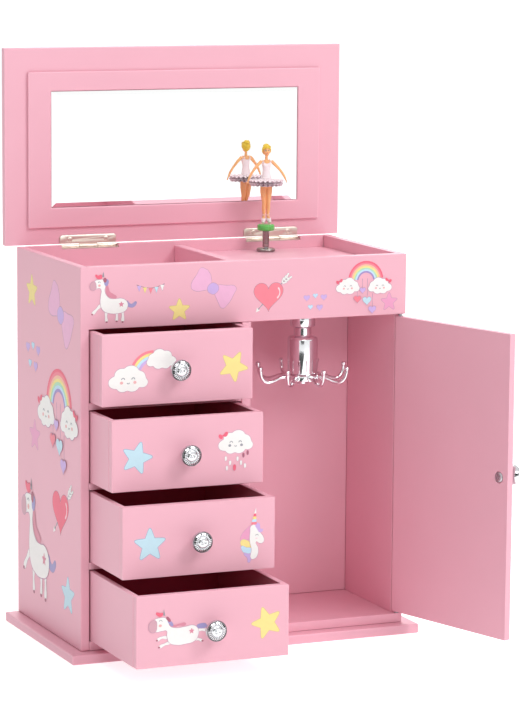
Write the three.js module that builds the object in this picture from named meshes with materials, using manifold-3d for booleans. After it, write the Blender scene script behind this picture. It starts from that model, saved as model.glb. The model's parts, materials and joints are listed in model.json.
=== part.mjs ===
import * as THREE from "three";
import { mergeVertices } from "three/addons/utils/BufferGeometryUtils.js";
import Module from "manifold-3d";

// Ballerina jewellery box, mm, +Z up, front toward -Y, shown open: lid up, door out, drawers pulled.
// The origin is the middle of the case's footprint on the underside of the base board.

// case
const caseW = 250, caseD = 136, caseH = 272;
const baseT = 7, overhang = 9.5, backOverhang = 1.5;
const wallT = 6, backT = 5, fasciaT = 6.5, partitionT = 6.8;
const bottomT = 6.8, slotH = 51.6, shelfT = 5, boardT = 4;
const gap = 0.3; // between boards that touch
// top compartments
const deckDrop = 8.6, deckT = 3, bushingR = 3.6, dividerDrop = 2.8;
// cabinet
const cabinetDepth = 86;
// drawers, from the top one down: how far each is pulled out
const pulls = [22.5, 42, 63, 89];
const drawerSide = 1.3, drawerTop = 1.1, drawerFoot = 0.4, drawerBackGap = 9; // room round a shut drawer
const drawerFrontT = 6, drawerWallT = 4, drawerFloorT = 3;
const knobR = 6.9, knobLow = 0.6, knobLeft = 1.7; // knob centres against the middle of their fronts
const screwR = 1.5, screwHeadR = 3.6, sinkR = 4.4, sinkDeep = 1.6, screwBoreR = 1.8;
// door
const doorT = 5, doorW = 118.5, doorAngle = 106.5, doorPinR = 1.5, doorEdgeIn = 0.5;
const doorKnobIn = 9, doorKnobUp = 6.7;
// lid
const lidW = 267, lidH = 144, lidT = 6, lidFrameInset = 17.5, lidFrameT = 2.2;
const lidFrameLow = 12.4, lidFrameHigh = 126.5, mirrorInset = 35.2, mirrorLow = 27.1, mirrorHigh = 112.4;
const mirrorT = 1.6;
// hinges
const hingeSpan = 146.6, hingeShift = 3.9, hingeL = 44, barrelR = 1.45, leafT = 0.8, leafUp = 8.1;
const hingePinR = 0.6, leafHoleR = 0.9;
const shutGap = 0.2; // between the rim and the shut lid
// dancer
// the dancer's post stands this far in front of the hinges' line and right of the cabinet's middle
const dancerGap = 20, dancerShift = 3.2;
const neckR = 2.2, discR = 6.4, flangeR = 7, figureScale = 0.972, dancerTurn = -10;
// necklace carousel
const hookR = 33.6, hookWire = 1.5, hookTip = 1.9, hookCount = 8, hookTurn = 3, carouselShift = 1.5;
const stemHoleR = 3, hubR = 10.6;
// musical movement
const gearTeeth = 24, gearRoot = 10.9, gearTip = 12.6, gearT = 3, arborGap = 24.4;
const rollerR = 4.5, rollerT = 3, cylinderR = 6.4, driveR = 9.6, postR = 1.4, bedT = 1.1;

// places that follow from the sizes above
const left = -caseW / 2, right = caseW / 2, front = -caseD / 2, back = caseD / 2;
const z0 = baseT, rim = baseT + caseH;
const inL = left + wallT, inR = right - wallT, inBack = back - backT, half = partitionT / 2;
const pitch = slotH + shelfT;
const slotTop = i => z0 + bottomT + 4 * slotH + 3 * shelfT - i * pitch;
const fasciaZ = slotTop(0), floorTop = fasciaZ + gap + boardT;
const deckTop = rim - deckDrop;
const cabX = (half + inR) / 2;
// the barrels lie in front of the lid's face and are let into the back, so the shut lid meets the rim
const lidOff = barrelR + 0.05;
const pivotY = back, pivotZ = rim + shutGap - lidOff;
const postX = cabX + dancerShift, postY = back - dancerGap;
const carX = cabX + carouselShift;
const carY = front + doorT + hookR + 4.9;

const wasm = await Module();
wasm.setup();

const group = new THREE.Group();
group.name = "ballerina_jewellery_box";

const colour = (hex, rough = 0.5, metal = 0) =>
  new THREE.MeshStandardMaterial({ color: hex, roughness: rough, metalness: metal });
const paint = { pink: ["#f2a3b8"], lining: ["#b8405a"], chrome: ["#c9ccd0", 0.2, 1],
  nickel: ["#c8b6a4", 0.35, 1], glass: ["#dfe7ea", 0.05, 1], crystal: ["#e6e9ec", 0.1],
  skin: ["#e7a877"], green: ["#3faf6a"], tulle: ["#f3b9cd"], steel: ["#8d9299", 0.4, 1],
  brass: ["#c29a4b", 0.35, 1] };

// ---- solids ----
function clean(geo) {
  const g = geo.clone();
  g.deleteAttribute("normal");
  g.deleteAttribute("uv");
  return mergeVertices(g, 1e-4);
}

function toManifold(geo) {
  const g = clean(geo);
  return new wasm.Manifold(new wasm.Mesh({ numProp: 3,
    vertProperties: new Float32Array(g.attributes.position.array),
    triVerts: new Uint32Array(g.index.array) }));
}

function fromManifold(m) {
  const mesh = m.getMesh();
  const g = new THREE.BufferGeometry();
  const pos = new Float32Array(mesh.numVert * 3);
  for (let i = 0; i < mesh.numVert; i++)
    for (let k = 0; k < 3; k++) pos[3 * i + k] = mesh.vertProperties[i * mesh.numProp + k];
  g.setAttribute("position", new THREE.BufferAttribute(pos, 3));
  g.setIndex(Array.from(mesh.triVerts));
  return g;
}

const join = (first, ...rest) =>
  fromManifold(rest.reduce((m, g) => m.add(toManifold(g)), toManifold(first)));
const cut = (first, ...rest) =>
  fromManifold(rest.reduce((m, g) => m.subtract(toManifold(g)), toManifold(first)));

function box(x0, x1, y0, y1, za, zb) {
  return new THREE.BoxGeometry(x1 - x0, y1 - y0, zb - za)
    .translate((x0 + x1) / 2, (y0 + y1) / 2, (za + zb) / 2);
}

// a turned shape: profile of [radius, height] pairs about +Z, closed on the axis
function turned(profile, seg = 24) {
  const pts = profile.map(p => new THREE.Vector2(p[0], p[1]));
  return new THREE.LatheGeometry(pts, seg).rotateX(Math.PI / 2);
}

const rod = (r, za, zb, seg = 20) => turned([[0, za], [r, za], [r, zb], [0, zb]], seg);
// stand a +Z shape along another axis
const alongY = g => g.rotateX(-Math.PI / 2);   // +Z becomes +Y
const alongMinusY = g => g.rotateX(Math.PI / 2); // +Z becomes -Y
const alongX = g => g.rotateY(Math.PI / 2);

function outline(points, t) {
  const s = new THREE.Shape(points.map(p => new THREE.Vector2(p[0], p[1])));
  return new THREE.ExtrudeGeometry(s, { depth: t, bevelEnabled: false });
}

function swept(points, r, steps = 10, seg = 8) {
  const path = new THREE.CatmullRomCurve3(points.map(p => new THREE.Vector3(...p)), false, "centripetal");
  const s = new THREE.Shape();
  s.absarc(0, 0, r, 0, Math.PI * 2, false);
  return new THREE.ExtrudeGeometry(s, { steps, curveSegments: seg, bevelEnabled: false, extrudePath: path });
}

const ball = (x, y, z, rx, ry = rx, rz = rx, a = 12, b = 8) =>
  new THREE.SphereGeometry(1, a, b).scale(rx, ry, rz).translate(x, y, z);

// a tapered limb with round ends between two points
function limb(p, q, rp, rq, seg = 6) {
  const a = new THREE.Vector3(...p), b = new THREE.Vector3(...q);
  const len = a.distanceTo(b);
  const body = new THREE.CylinderGeometry(rq, rp, len, seg);
  const turn = new THREE.Quaternion().setFromUnitVectors(
    new THREE.Vector3(0, 1, 0), b.clone().sub(a).normalize());
  body.applyQuaternion(turn).translate(...a.clone().add(b).multiplyScalar(0.5).toArray());
  return join(body, ball(...p, rp, rp, rp, seg, 4), ball(...q, rq, rq, rq, seg, 4));
}

function add(name, geo, kind) {
  let g = geo;
  if (g.attributes.normal || g.attributes.uv) g = clean(g);
  g = g.index ? g.toNonIndexed() : g;
  g.computeVertexNormals();
  const mesh = new THREE.Mesh(g, colour(...paint[kind]));
  mesh.name = name;
  group.add(mesh);
}

// ---- case ----
const baseFront = front - overhang, baseBack = back + backOverhang;
add("base_board", box(left - overhang, right + overhang, baseFront, baseBack, 0, baseT), "pink");
add("side_panel_left", box(left, inL, front, back, z0 + gap, rim), "pink");
// the right side stands back far enough for the door's hinge edge to turn in front of it
const pinIn = doorT / 2 + doorEdgeIn;
const doorSet = doorT / 2 + Math.hypot(doorT / 2, doorT / 2) + 0.4;
add("side_panel_right", cut(box(inR, right, front + doorSet, back, z0 + gap, rim),
  box(inR - 1, right + 1, front, front + fasciaT + gap, fasciaZ - gap, rim + 1)), "pink");
const keyX = postX - arborGap, movementZ = floorTop + 14.1;
const hinges = [["left", hingeShift - hingeSpan / 2], ["right", hingeShift + hingeSpan / 2]];
const leafLow = pivotZ - barrelR;
add("back_panel", cut(box(inL + gap, inR - gap, inBack, back, z0 + gap, rim),
  alongY(rod(2.1, -1, backT + 1)).translate(keyX, inBack, movementZ),
  ...hinges.map(([, c]) => box(c - hingeL / 2 - gap, c + hingeL / 2 + gap, inBack - 1, back + 1,
    leafLow - 0.15, rim + 1))), "pink");
const pinX = right - pinIn, pinY = front + doorT / 2;
add("front_fascia", cut(box(inL + gap, right, front, front + fasciaT, fasciaZ, rim),
  rod(doorPinR + gap, -1, 4 + gap, 16).translate(pinX, pinY, fasciaZ)), "pink");
add("bottom_panel", cut(outline([[inL + gap, front], [right, front], [right, front + doorSet - gap],
  [inR - gap, front + doorSet - gap], [inR - gap, inBack - gap], [inL + gap, inBack - gap]],
  bottomT - gap).translate(0, 0, z0 + gap),
  rod(doorPinR + gap, bottomT - 4 - gap, bottomT + 1, 16).translate(pinX, pinY, z0)), "pink");
const panelZ = z0 + bottomT + gap;
add("centre_partition", box(-half, half, front, inBack - gap, panelZ, fasciaZ - gap), "pink");
for (let i = 1; i < 4; i++)
  add(`drawer_shelf_${i}`, box(inL + gap, -half - gap, front, inBack - gap,
    slotTop(i), slotTop(i) + shelfT), "pink");
add("cabinet_back", box(half + gap, inR - gap, front + cabinetDepth, front + cabinetDepth + boardT,
  panelZ, fasciaZ - gap), "pink");

// one board closes the drawers and the cabinet and is the floor of the deep compartment
const floorFront = front + fasciaT + gap;
add("floor_board", cut(box(inL + gap, inR - gap, floorFront, inBack - gap, fasciaZ, fasciaZ + boardT),
  rod(stemHoleR + gap, -1, boardT + 1, 20).translate(carX, carY, fasciaZ)), "pink");
add("tray_divider", box(-half, half, floorFront, inBack - gap, floorTop, rim - dividerDrop), "pink");
add("music_deck", cut(box(half + gap, inR - gap, floorFront, inBack - gap, deckTop - deckT, deckTop),
  rod(bushingR + gap, -1, deckT + 1, 20).translate(postX, postY, deckTop - deckT)), "pink");

// ---- door ----
// made shut in the door's own plane, then swung about its pins to where it stands open
const swing = THREE.MathUtils.degToRad(doorAngle);
const doorLow = z0 + bottomT + 1.2, doorHigh = fasciaZ - 1.9;
const open = g => g.translate(-pinX, -pinY, 0).rotateZ(swing).translate(pinX, pinY, 0);
const doorRight = right - doorEdgeIn, doorLeft = doorRight - doorW;
const doorKnobX = doorLeft + doorKnobIn, doorKnobZ = (doorLow + doorHigh) / 2 + doorKnobUp;
const pinBore = z => rod(doorPinR + gap, -5, 5, 16).translate(pinX, pinY, z);
const sink = turned([[0, -1], [sinkR, -1], [sinkR, sinkDeep], [screwBoreR + 0.1, sinkDeep],
  [screwBoreR + 0.1, 9], [0, 9]], 24);
add("door_panel", open(cut(box(doorLeft, doorRight, front, front + doorT, doorLow, doorHigh),
  pinBore(doorLow), pinBore(doorHigh),
  alongMinusY(sink.clone()).translate(doorKnobX, front + doorT, doorKnobZ))), "pink");
add("door_pin_top", rod(doorPinR, -5.9, 4, 16).translate(pinX, pinY, fasciaZ), "steel");
add("door_pin_bottom", rod(doorPinR, -4, 5.2, 16).translate(pinX, pinY, z0 + bottomT), "steel");

// ---- knobs and their screws ----
// a cut-glass look knob along +Z from the board's face, bored for its screw
const knobProfile = [[0, gap], [3.9, gap], [4.1, 1.2], [3, 2.6], [3, 4.4], [knobR - 1.6, 5.8], [knobR, 7.6],
  [knobR, 9.2], [knobR - 1.6, 11.2], [2.4, 12.2], [0, 12.2]];
const knob = () => cut(turned(knobProfile, 16), rod(screwBoreR, -1, 8, 12));
// the screw's head is sunk in the inner face; depth is the board's thickness
function screw(depth) {
  const body = turned([[0, -depth + 0.2], [screwHeadR, -depth + 0.2], [screwHeadR, -depth + 1.3],
    [screwR, -depth + 1.3], [screwR, 7.6], [0, 7.6]], 16);
  return cut(body, box(-2.3, 2.3, -0.35, 0.35, -depth - 1, -depth + 0.8),
    box(-0.35, 0.35, -2.3, 2.3, -depth - 1, -depth + 0.8));
}
add("door_knob", open(alongMinusY(knob()).translate(doorKnobX, front, doorKnobZ)), "crystal");
add("door_knob_screw", open(alongMinusY(screw(doorT)).translate(doorKnobX, front, doorKnobZ)), "steel");

// ---- drawers ----
const drawerL = inL + drawerSide, drawerR = -half - drawerSide;
const drawerH = slotH - drawerTop - drawerFoot, drawerDepth = caseD - backT - drawerBackGap;
const drawerKnobX = (drawerL + drawerR) / 2 - knobLeft;
for (let i = 0; i < 4; i++) {
  const n = `drawer_${i + 1}`, y = front - pulls[i], top = slotTop(i) - drawerTop, low = top - drawerH;
  const knobZ = (top + low) / 2 - knobLow;
  const recess = alongMinusY(sink.clone()).translate(drawerKnobX, y + drawerFrontT, knobZ);
  add(`${n}_front`, cut(box(drawerL, drawerR, y, y + drawerFrontT, low, top), recess), "pink");
  const boxFront = y + drawerFrontT + gap, boxBack = y + drawerDepth;
  add(`${n}_box`, cut(box(drawerL, drawerR, boxFront, boxBack, low, top),
    box(drawerL + drawerWallT, drawerR - drawerWallT, boxFront - 1, boxBack - drawerWallT,
      low + drawerFloorT, top + 1)), "pink");
  add(`${n}_knob`, alongMinusY(knob()).translate(drawerKnobX, y, knobZ), "crystal");
  add(`${n}_knob_screw`, alongMinusY(screw(drawerFrontT)).translate(drawerKnobX, y, knobZ), "steel");
}

// ---- lid, standing upright behind the hinges ----
const lidZ = rim + gap, face = pivotY + lidOff;
add("lid_board", box(-lidW / 2, lidW / 2, face, face + lidT, lidZ, lidZ + lidH), "pink");
const frameFace = face - gap - lidFrameT, mirrorBack = face - gap;
const hx = lidW / 2 - lidFrameInset, mx = lidW / 2 - mirrorInset;
add("lid_frame", cut(box(-hx, hx, frameFace, face - gap, lidZ + lidFrameLow, lidZ + lidFrameHigh),
  box(-mx, mx, frameFace - 1, face, lidZ + mirrorLow, lidZ + mirrorHigh)), "pink");
add("mirror", box(-mx + gap, mx - gap, mirrorBack - mirrorT, mirrorBack,
  lidZ + mirrorLow + gap, lidZ + mirrorHigh - gap), "glass");

// ---- butt hinges: the body leaf carries two knuckles and the pin, the lid leaf the middle one ----
const knuckle = (x0, x1, r) => alongX(rod(r, x0, x1, 16)).translate(0, pivotY, pivotZ);
for (const [side, hc] of hinges) {
  const a = hc - hingeL / 2, b = hc + hingeL / 2;
  const m0 = hc - hingeL / 6, m1 = hc + hingeL / 6;
  const lowLeaf = box(a, b, inBack + 0.2, pivotY, leafLow, leafLow + leafT);
  add(`hinge_${side}_body_leaf`, cut(join(lowLeaf, knuckle(a, m0, barrelR), knuckle(m1, b, barrelR),
    knuckle(a, b, hingePinR)),
    box(m0, m1, pivotY - barrelR - gap, pivotY + 1, leafLow - 1, pivotZ - hingePinR - 0.01),
    ...[-0.36, 0.36].map(k => rod(leafHoleR, -1, 2, 10).translate(hc + k * hingeL, pivotY - 3.2, leafLow))),
    "nickel");
  const leafY = face - 0.15;
  const upLeaf = outline([[a, 1.9], [b, 1.9], [b, leafUp - 1.2], [b - 1.6, leafUp], [a + 1.6, leafUp],
    [a, leafUp - 1.2]], leafT).rotateX(Math.PI / 2).translate(0, leafY, pivotZ);
  const tongue = box(m0 + gap, m1 - gap, leafY - leafT, leafY, pivotZ, pivotZ + 2.5);
  add(`hinge_${side}_lid_leaf`, cut(join(upLeaf, tongue, knuckle(m0 + gap, m1 - gap, barrelR)),
    knuckle(m0 - 1, m1 + 1, hingePinR + gap),
    ...[-0.32, 0.32].map(k => alongY(rod(leafHoleR, -3, 3, 10))
      .translate(hc + k * hingeL, face, pivotZ + 5))),
    "nickel");
}

// ---- necklace carousel ----
const carTop = fasciaZ, hubLow = carTop - 54, hookZ = hubLow + 2.3;
add("carousel_stem", turned([[0, -28], [1.8, -28], [1.8, -1.5], [9.2, -1.5], [9.2, -gap], [stemHoleR, -gap],
  [stemHoleR, boardT + 1.5], [5, boardT + 1.5], [5, boardT + 3], [0, boardT + 3]], 24)
  .translate(carX, carY, carTop), "chrome");
const cupTop = hubLow + 7.7, drumTop = cupTop + 27.7, neckTop = drumTop + 6.8;
add("carousel_hub", cut(turned([[0, hubLow], [4, hubLow], [4.6, hubLow + 1.6], [8.6, hubLow + 2.6],
  [hubR, cupTop - 1.2], [hubR, cupTop - 0.2], [11.1, cupTop + 0.6], [11.1, drumTop - 2.4],
  [10.4, drumTop - 0.8],
  [6.4, drumTop], [6.4, neckTop], [9.3, neckTop + 1], [9.3, carTop - 3.4], [7.4, carTop - 1.9],
  [0, carTop - 1.9]], 32), rod(2.2, carTop - 30, carTop, 16)).translate(carX, carY, 0), "chrome");
const hooks = [];
for (let k = 0; k < hookCount; k++) {
  const a = THREE.MathUtils.degToRad(hookTurn + k * 360 / hookCount), c = Math.cos(a), s = Math.sin(a);
  const path = [[10.9, 3.2], [16, 3.0], [22, 1.2], [27, 0.4], [hookR - 2, 2.2], [hookR, 6],
    [hookR + 0.6, 10.4]];
  hooks.push(swept(path.map(([r, z]) => [r * c, r * s, z]), hookWire, 8, 3));
  hooks.push(ball((hookR + 0.6) * c, (hookR + 0.6) * s, 10.4, hookTip, hookTip, hookTip, 8, 6));
}
const ringBand = cut(rod(12.8, 0.8, 5, 32), rod(hubR + 2 * gap, -1, 8, 32));
add("hook_ring", join(ringBand, ...hooks).translate(carX, carY, hookZ), "chrome");

// ---- dancer ----
const bushLow = deckTop - deckT - 1.5, bushTop = deckTop + 2.6, footLow = deckTop + 3.4;
const discLow = deckTop + 15.8, discTop = discLow + 4.7;
add("deck_bushing", cut(turned([[0, bushLow], [bushingR, bushLow], [bushingR, deckTop + gap],
  [flangeR, deckTop + gap], [flangeR, bushTop - 0.8], [flangeR - 1, bushTop], [0, bushTop]], 28),
  rod(postR + gap, deckTop - 20, deckTop + 20, 16)).translate(postX, postY, 0), "chrome");
const rollerLow = movementZ + driveR - rollerT - 1.35;
add("dancer_post", join(rod(postR, rollerLow, footLow - gap, 16),
  rod(rollerR, rollerLow, rollerLow + rollerT, 28))
  .translate(postX, postY, 0), "steel");
add("dancer_foot", turned([[0, footLow], [3.2, footLow], [3.2, footLow + 1.4], [neckR, footLow + 2.2],
  [neckR, discLow - gap], [0, discLow - gap]], 20).translate(postX, postY, 0), "steel");
add("dancer_base", turned([[0, discLow], [discR - 0.5, discLow], [discR, discLow + 0.6],
  [discR, discTop - 0.8], [discR - 0.8, discTop], [0, discTop]], 28).translate(postX, postY, 0), "green");
// the figure is built facing -Y about the post axis, feet at z = 0, then turned
const hipZ = 29, waistZ = 41.4, shoulderZ = 47.6, headZ = 56;
const figure = join(
  limb([-1.5, 0, 1.4], [-2.2, 0, hipZ], 1.3, 2.4), limb([1.5, 0, 1.4], [2.2, 0, hipZ], 1.3, 2.4),
  limb([-1.5, -0.4, 1.3], [-1.9, -2.4, 1.2], 1.2, 0.9), limb([1.5, -0.4, 1.3], [1.9, -2.4, 1.2], 1.2, 0.9),
  ball(0, 0, hipZ + 2, 4.1, 2.9, 4), limb([0, 0, hipZ + 2], [0, 0, waistZ], 3.4, 2.6),
  limb([0, 0, waistZ], [0, -0.2, shoulderZ - 1], 2.6, 3.2), ball(0, 0, shoulderZ - 1.6, 4.6, 2.4, 2.2),
  limb([0, 0, shoulderZ], [0, 0, headZ - 3], 1.2, 1.1), ball(0, -0.2, headZ, 3.3, 3.5, 4.3, 14, 12),
  ball(0, 1.2, headZ + 3.6, 2.2, 2.2, 1.9, 12, 8),
  limb([-4.4, 0, shoulderZ - 1], [-9.6, -1, 39.4], 1.35, 1.05),
  limb([-9.6, -1, 39.4], [-15.2, -2, 32.2], 1.05, 0.9),
  limb([4.4, 0, shoulderZ - 1], [9.6, -1, 39.8], 1.35, 1.05),
  limb([9.6, -1, 39.8], [15.2, -2, 33.2], 1.05, 0.9));
const place = g => g.scale(figureScale, figureScale, figureScale)
  .rotateZ(THREE.MathUtils.degToRad(dancerTurn)).translate(postX, postY, discTop + gap);
const skirt = turned([[4.7, 32.2], [12.9, 29.6], [12.9, 30.8], [9, 33.4], [4.7, 35], [4.7, 32.2]], 32);
add("dancer_figure", place(figure), "skin");
add("dancer_tutu", place(skirt), "tulle");

// ---- musical movement under the deck ----
function gearWheel(y0, y1, phase) {
  const pts = [];
  for (let k = 0; k < gearTeeth; k++) {
    for (const [f, r] of [[-0.5, gearRoot], [-0.24, gearRoot], [-0.13, gearTip], [0.13, gearTip],
      [0.24, gearRoot]]) {
      const a = (k + f + phase) * 2 * Math.PI / gearTeeth;
      pts.push([r * Math.cos(a), r * Math.sin(a)]);
    }
  }
  return outline(pts, y1 - y0).rotateX(Math.PI / 2).translate(0, y1, 0);
}
const gearY = back - 57.5;
const barrel = join(gearWheel(gearY, gearY + gearT, 0),
  alongY(rod(gearRoot - 0.5, gearT, 24, 28)).translate(0, gearY - 0.2, 0));
add("spring_barrel", cut(barrel, alongY(rod(2, -5, 40, 16)).translate(0, gearY, 0))
  .translate(keyX, 0, movementZ), "brass");
const discY = postY - rollerR - gap;
const drumLow = gearY + 4, drumHigh = gearY + 26;
add("pinned_cylinder", join(gearWheel(gearY, gearY + gearT, 0.5),
  alongY(rod(cylinderR, drumLow, drumHigh, 28)),
  alongY(rod(1.2, gearY - 2.4, discY, 14)), alongY(rod(driveR, discY - 1.8, discY, 32)),
  ...Array.from({ length: 14 }, (_, k) => {
    const a = k * 2.4, y = drumLow + 2 + (k * 5 % 14) * 1.35;
    return ball(cylinderR * Math.cos(a), y, cylinderR * Math.sin(a), 0.45, 0.45, 0.45, 5, 3);
  })).translate(postX, 0, movementZ), "brass");
const keyOut = back + 0.6, wingR = 7.5, wingT = 2.6;
const wing = z => alongX(turned([[0, -wingT / 2], [wingR, -wingT / 2], [wingR, wingT / 2],
  [0, wingT / 2]], 20)).translate(0, keyOut + 12, z);
add("winding_key", join(alongY(rod(1.6, gearY - 1.6, keyOut + 14, 16)),
  alongY(rod(4, keyOut, keyOut + 6, 20)),
  wing(6), wing(-6))
  .translate(keyX, 0, movementZ), "steel");
const plateZ = floorTop;
const bracket = (x, y0, y1, r) => cut(box(x - 4, x + 4, y0, y1, plateZ + 0.5, movementZ + 4),
  alongY(rod(r, y0 - 1, y1 + 1, 16)).translate(x, 0, movementZ));
const combX = postX + 7.4, combEnd = combX + 16;
const govX = combEnd + 7, govY = gearY + 12;
const plateL = keyX - 12, plateR = govX + 6;
const combBlock = box(combX + 10, combEnd, drumLow, drumHigh, plateZ + 0.5, movementZ - 0.6 - gap);
add("movement_bedplate", cut(join(box(plateL, plateR, gearY - 5, discY - 3, plateZ, plateZ + bedT),
  combBlock, bracket(postX, gearY - 3, gearY - 1, 1.5), bracket(keyX, gearY - 3, gearY - 1, 1.9)),
  rod(1.1, -1, 3, 12).translate(govX, govY, plateZ)), "brass");
const teeth = [[combEnd, drumLow], [combEnd, drumHigh], [combX + 9, drumHigh]];
for (let k = 9; k >= 0; k--) {
  const y = drumLow + 1 + k * 2.15;
  teeth.push([combX, y + 0.7], [combX, y - 0.1], [combX + 9, y - 0.1]);
  if (k) teeth.push([combX + 9, y - 1.45]);
}
teeth.push([combX + 9, drumLow]);
add("movement_comb", outline(teeth, 1.2).translate(0, 0, movementZ - 0.6), "steel");
add("governor", join(rod(0.8, plateZ + 0.6, movementZ + 10, 12), rod(2.2, plateZ + 2.4, movementZ - 2, 16),
  box(-5.5, 5.5, -0.4, 0.4, movementZ, movementZ + 9)).translate(govX, govY, 0), "steel");

export default group;
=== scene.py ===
import json
import math
import bpy
from mathutils import Matrix, Vector


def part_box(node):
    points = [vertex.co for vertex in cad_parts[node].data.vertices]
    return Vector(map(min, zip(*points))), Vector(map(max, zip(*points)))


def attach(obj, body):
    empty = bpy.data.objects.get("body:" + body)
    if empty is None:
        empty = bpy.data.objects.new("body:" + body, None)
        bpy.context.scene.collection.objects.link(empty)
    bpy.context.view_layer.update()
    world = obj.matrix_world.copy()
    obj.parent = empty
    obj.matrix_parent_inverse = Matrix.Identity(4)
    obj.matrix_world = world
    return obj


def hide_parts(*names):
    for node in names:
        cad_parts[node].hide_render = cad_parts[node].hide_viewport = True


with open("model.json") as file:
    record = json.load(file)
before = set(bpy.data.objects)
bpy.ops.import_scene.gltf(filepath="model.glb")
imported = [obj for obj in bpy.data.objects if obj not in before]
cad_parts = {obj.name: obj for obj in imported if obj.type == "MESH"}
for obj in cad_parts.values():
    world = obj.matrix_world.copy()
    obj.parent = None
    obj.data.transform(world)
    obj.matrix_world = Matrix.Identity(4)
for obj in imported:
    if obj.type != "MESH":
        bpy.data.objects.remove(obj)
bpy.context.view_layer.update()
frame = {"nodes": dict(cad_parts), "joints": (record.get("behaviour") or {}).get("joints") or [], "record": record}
nodes = frame["nodes"]
bodyOf = {n: b for b, names in frame["record"]["behaviour"]["bodies"].items() for n in names}
print("frame loaded,", len(nodes), "nodes")

mm = 0.001


# handling pieces
def leaveEdit():
    if bpy.context.mode != "OBJECT":
        bpy.ops.object.mode_set(mode="OBJECT")


def pick(*pieces):
    leaveEdit()
    bpy.ops.object.select_all(action="DESELECT")
    for piece in pieces:
        piece.select_set(True)
    bpy.context.view_layer.objects.active = pieces[0]


def newest(name):
    piece = bpy.context.active_object
    piece.name = name
    piece.data.name = name
    return piece


def clearPick():
    leaveEdit()
    bpy.ops.object.select_all(action="DESELECT")


def settle(piece, place=None):
    # put the piece where it belongs and leave its object at the origin
    pick(piece)
    if place is not None:
        piece.matrix_world = place @ piece.matrix_world
    bpy.ops.object.transform_apply(location=True, rotation=True, scale=True)
    return piece


def editAll(piece):
    pick(piece)
    bpy.ops.object.mode_set(mode="EDIT")
    bpy.ops.mesh.select_all(action="SELECT")


def faceOut(piece):
    editAll(piece)
    bpy.ops.mesh.remove_doubles(threshold=1e-6)
    bpy.ops.mesh.normals_make_consistent(inside=False)
    leaveEdit()


def chooseFaces(piece, test):
    pick(piece)
    bpy.context.tool_settings.mesh_select_mode = (False, False, True)
    mesh = piece.data
    mesh.vertices.foreach_set("select", [False] * len(mesh.vertices))
    mesh.edges.foreach_set("select", [False] * len(mesh.edges))
    mesh.polygons.foreach_set("select", [bool(test(f.center, f.normal)) for f in mesh.polygons])
    bpy.ops.object.mode_set(mode="EDIT")


def chooseEdges(piece, test):
    # edges where the faces meet at more than 30 degrees and the test on their middle holds
    pick(piece)
    bpy.context.tool_settings.mesh_select_mode = (False, True, False)
    mesh = piece.data
    meeting = {}
    for f in mesh.polygons:
        for key in f.edge_keys:
            meeting.setdefault(key, []).append(f.normal)
    chosen = []
    for e in mesh.edges:
        faces = meeting.get(e.key, [])
        a, b = (mesh.vertices[i].co for i in e.key)
        chosen.append(len(faces) == 2 and faces[0].angle(faces[1], 0) > math.radians(30)
                      and bool(test((a + b) / 2, (b - a).normalized())))
    mesh.vertices.foreach_set("select", [False] * len(mesh.vertices))
    mesh.polygons.foreach_set("select", [False] * len(mesh.polygons))
    mesh.edges.foreach_set("select", chosen)
    bpy.ops.object.mode_set(mode="EDIT")


def smooth(piece, angle=35):
    pick(piece)
    bpy.ops.object.shade_smooth_by_angle(angle=math.radians(angle))
    return piece


def useModifier(piece, kind, **settings):
    pick(piece)
    modifier = piece.modifiers.new(kind.title(), kind)
    for key, value in settings.items():
        setattr(modifier, key, value)
    bpy.ops.object.modifier_apply(modifier=modifier.name)


def join(name, pieces):
    pick(*pieces)
    if len(pieces) > 1:
        bpy.ops.object.join()
    return newest(name)


def paint(piece, *finishes):
    piece.data.materials.clear()
    for finish in finishes:
        piece.data.materials.append(finish)
    return piece


def seat(piece, *standsFor, body=None, slot=None):
    # hide the CAD parts the piece stands for and let it move with that CAD body
    if standsFor:
        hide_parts(*standsFor)
    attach(piece, body or bodyOf[standsFor[0]])
    return piece


def copyPiece(piece, name, place):
    other = piece.copy()
    other.data = piece.data.copy()
    other.name = other.data.name = name
    bpy.context.scene.collection.objects.link(other)
    return settle(other, place)


def midOf(node):
    low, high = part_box(node)
    return (low + high) / 2


def jointOf(name):
    return next(j for j in frame["joints"] if j["name"] == name)


def turned(name, profile, steps, place=None, angle=35):
    # a disc extruded and resized up a profile of (radius, height) pairs in mm
    clearPick()
    radius, height = profile[0]
    bpy.ops.mesh.primitive_circle_add(vertices=steps, radius=radius * mm, fill_type="NGON",
                                      location=(0, 0, height * mm))
    piece = newest(name)
    bpy.ops.object.mode_set(mode="EDIT")
    bpy.context.tool_settings.mesh_select_mode = (False, False, True)
    bpy.ops.mesh.select_all(action="SELECT")
    for (ra, ha), (rb, hb) in zip(profile, profile[1:]):
        bpy.ops.mesh.extrude_region_move(TRANSFORM_OT_translate={"value": (0, 0, (hb - ha) * mm)})
        if rb == 0:
            bpy.ops.mesh.merge(type="CENTER")
        else:
            bpy.ops.transform.resize(value=(rb / ra, rb / ra, 1), center_override=(0, 0, hb * mm))
    leaveEdit()
    faceOut(piece)
    settle(piece, place)
    return smooth(piece, angle)


def tube(name, points, radii, ring=4, along=6, place=None):
    # a smooth rod through points in mm, as thick at each as its radius
    clearPick()
    line = bpy.data.curves.new(name, "CURVE")
    line.dimensions = "3D"
    line.bevel_depth = mm
    line.bevel_resolution = ring
    line.resolution_u = along
    line.use_fill_caps = True
    spline = line.splines.new("BEZIER")
    spline.bezier_points.add(len(points) - 1)
    for knot, point, radius in zip(spline.bezier_points, points, radii):
        knot.co = Vector(point) * mm
        knot.radius = radius
        knot.handle_left_type = knot.handle_right_type = "AUTO"
    piece = bpy.data.objects.new(name, line)
    bpy.context.scene.collection.objects.link(piece)
    pick(piece)
    bpy.ops.object.convert(target="MESH")
    faceOut(piece)
    settle(piece, place)
    return smooth(piece, 60)


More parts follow.
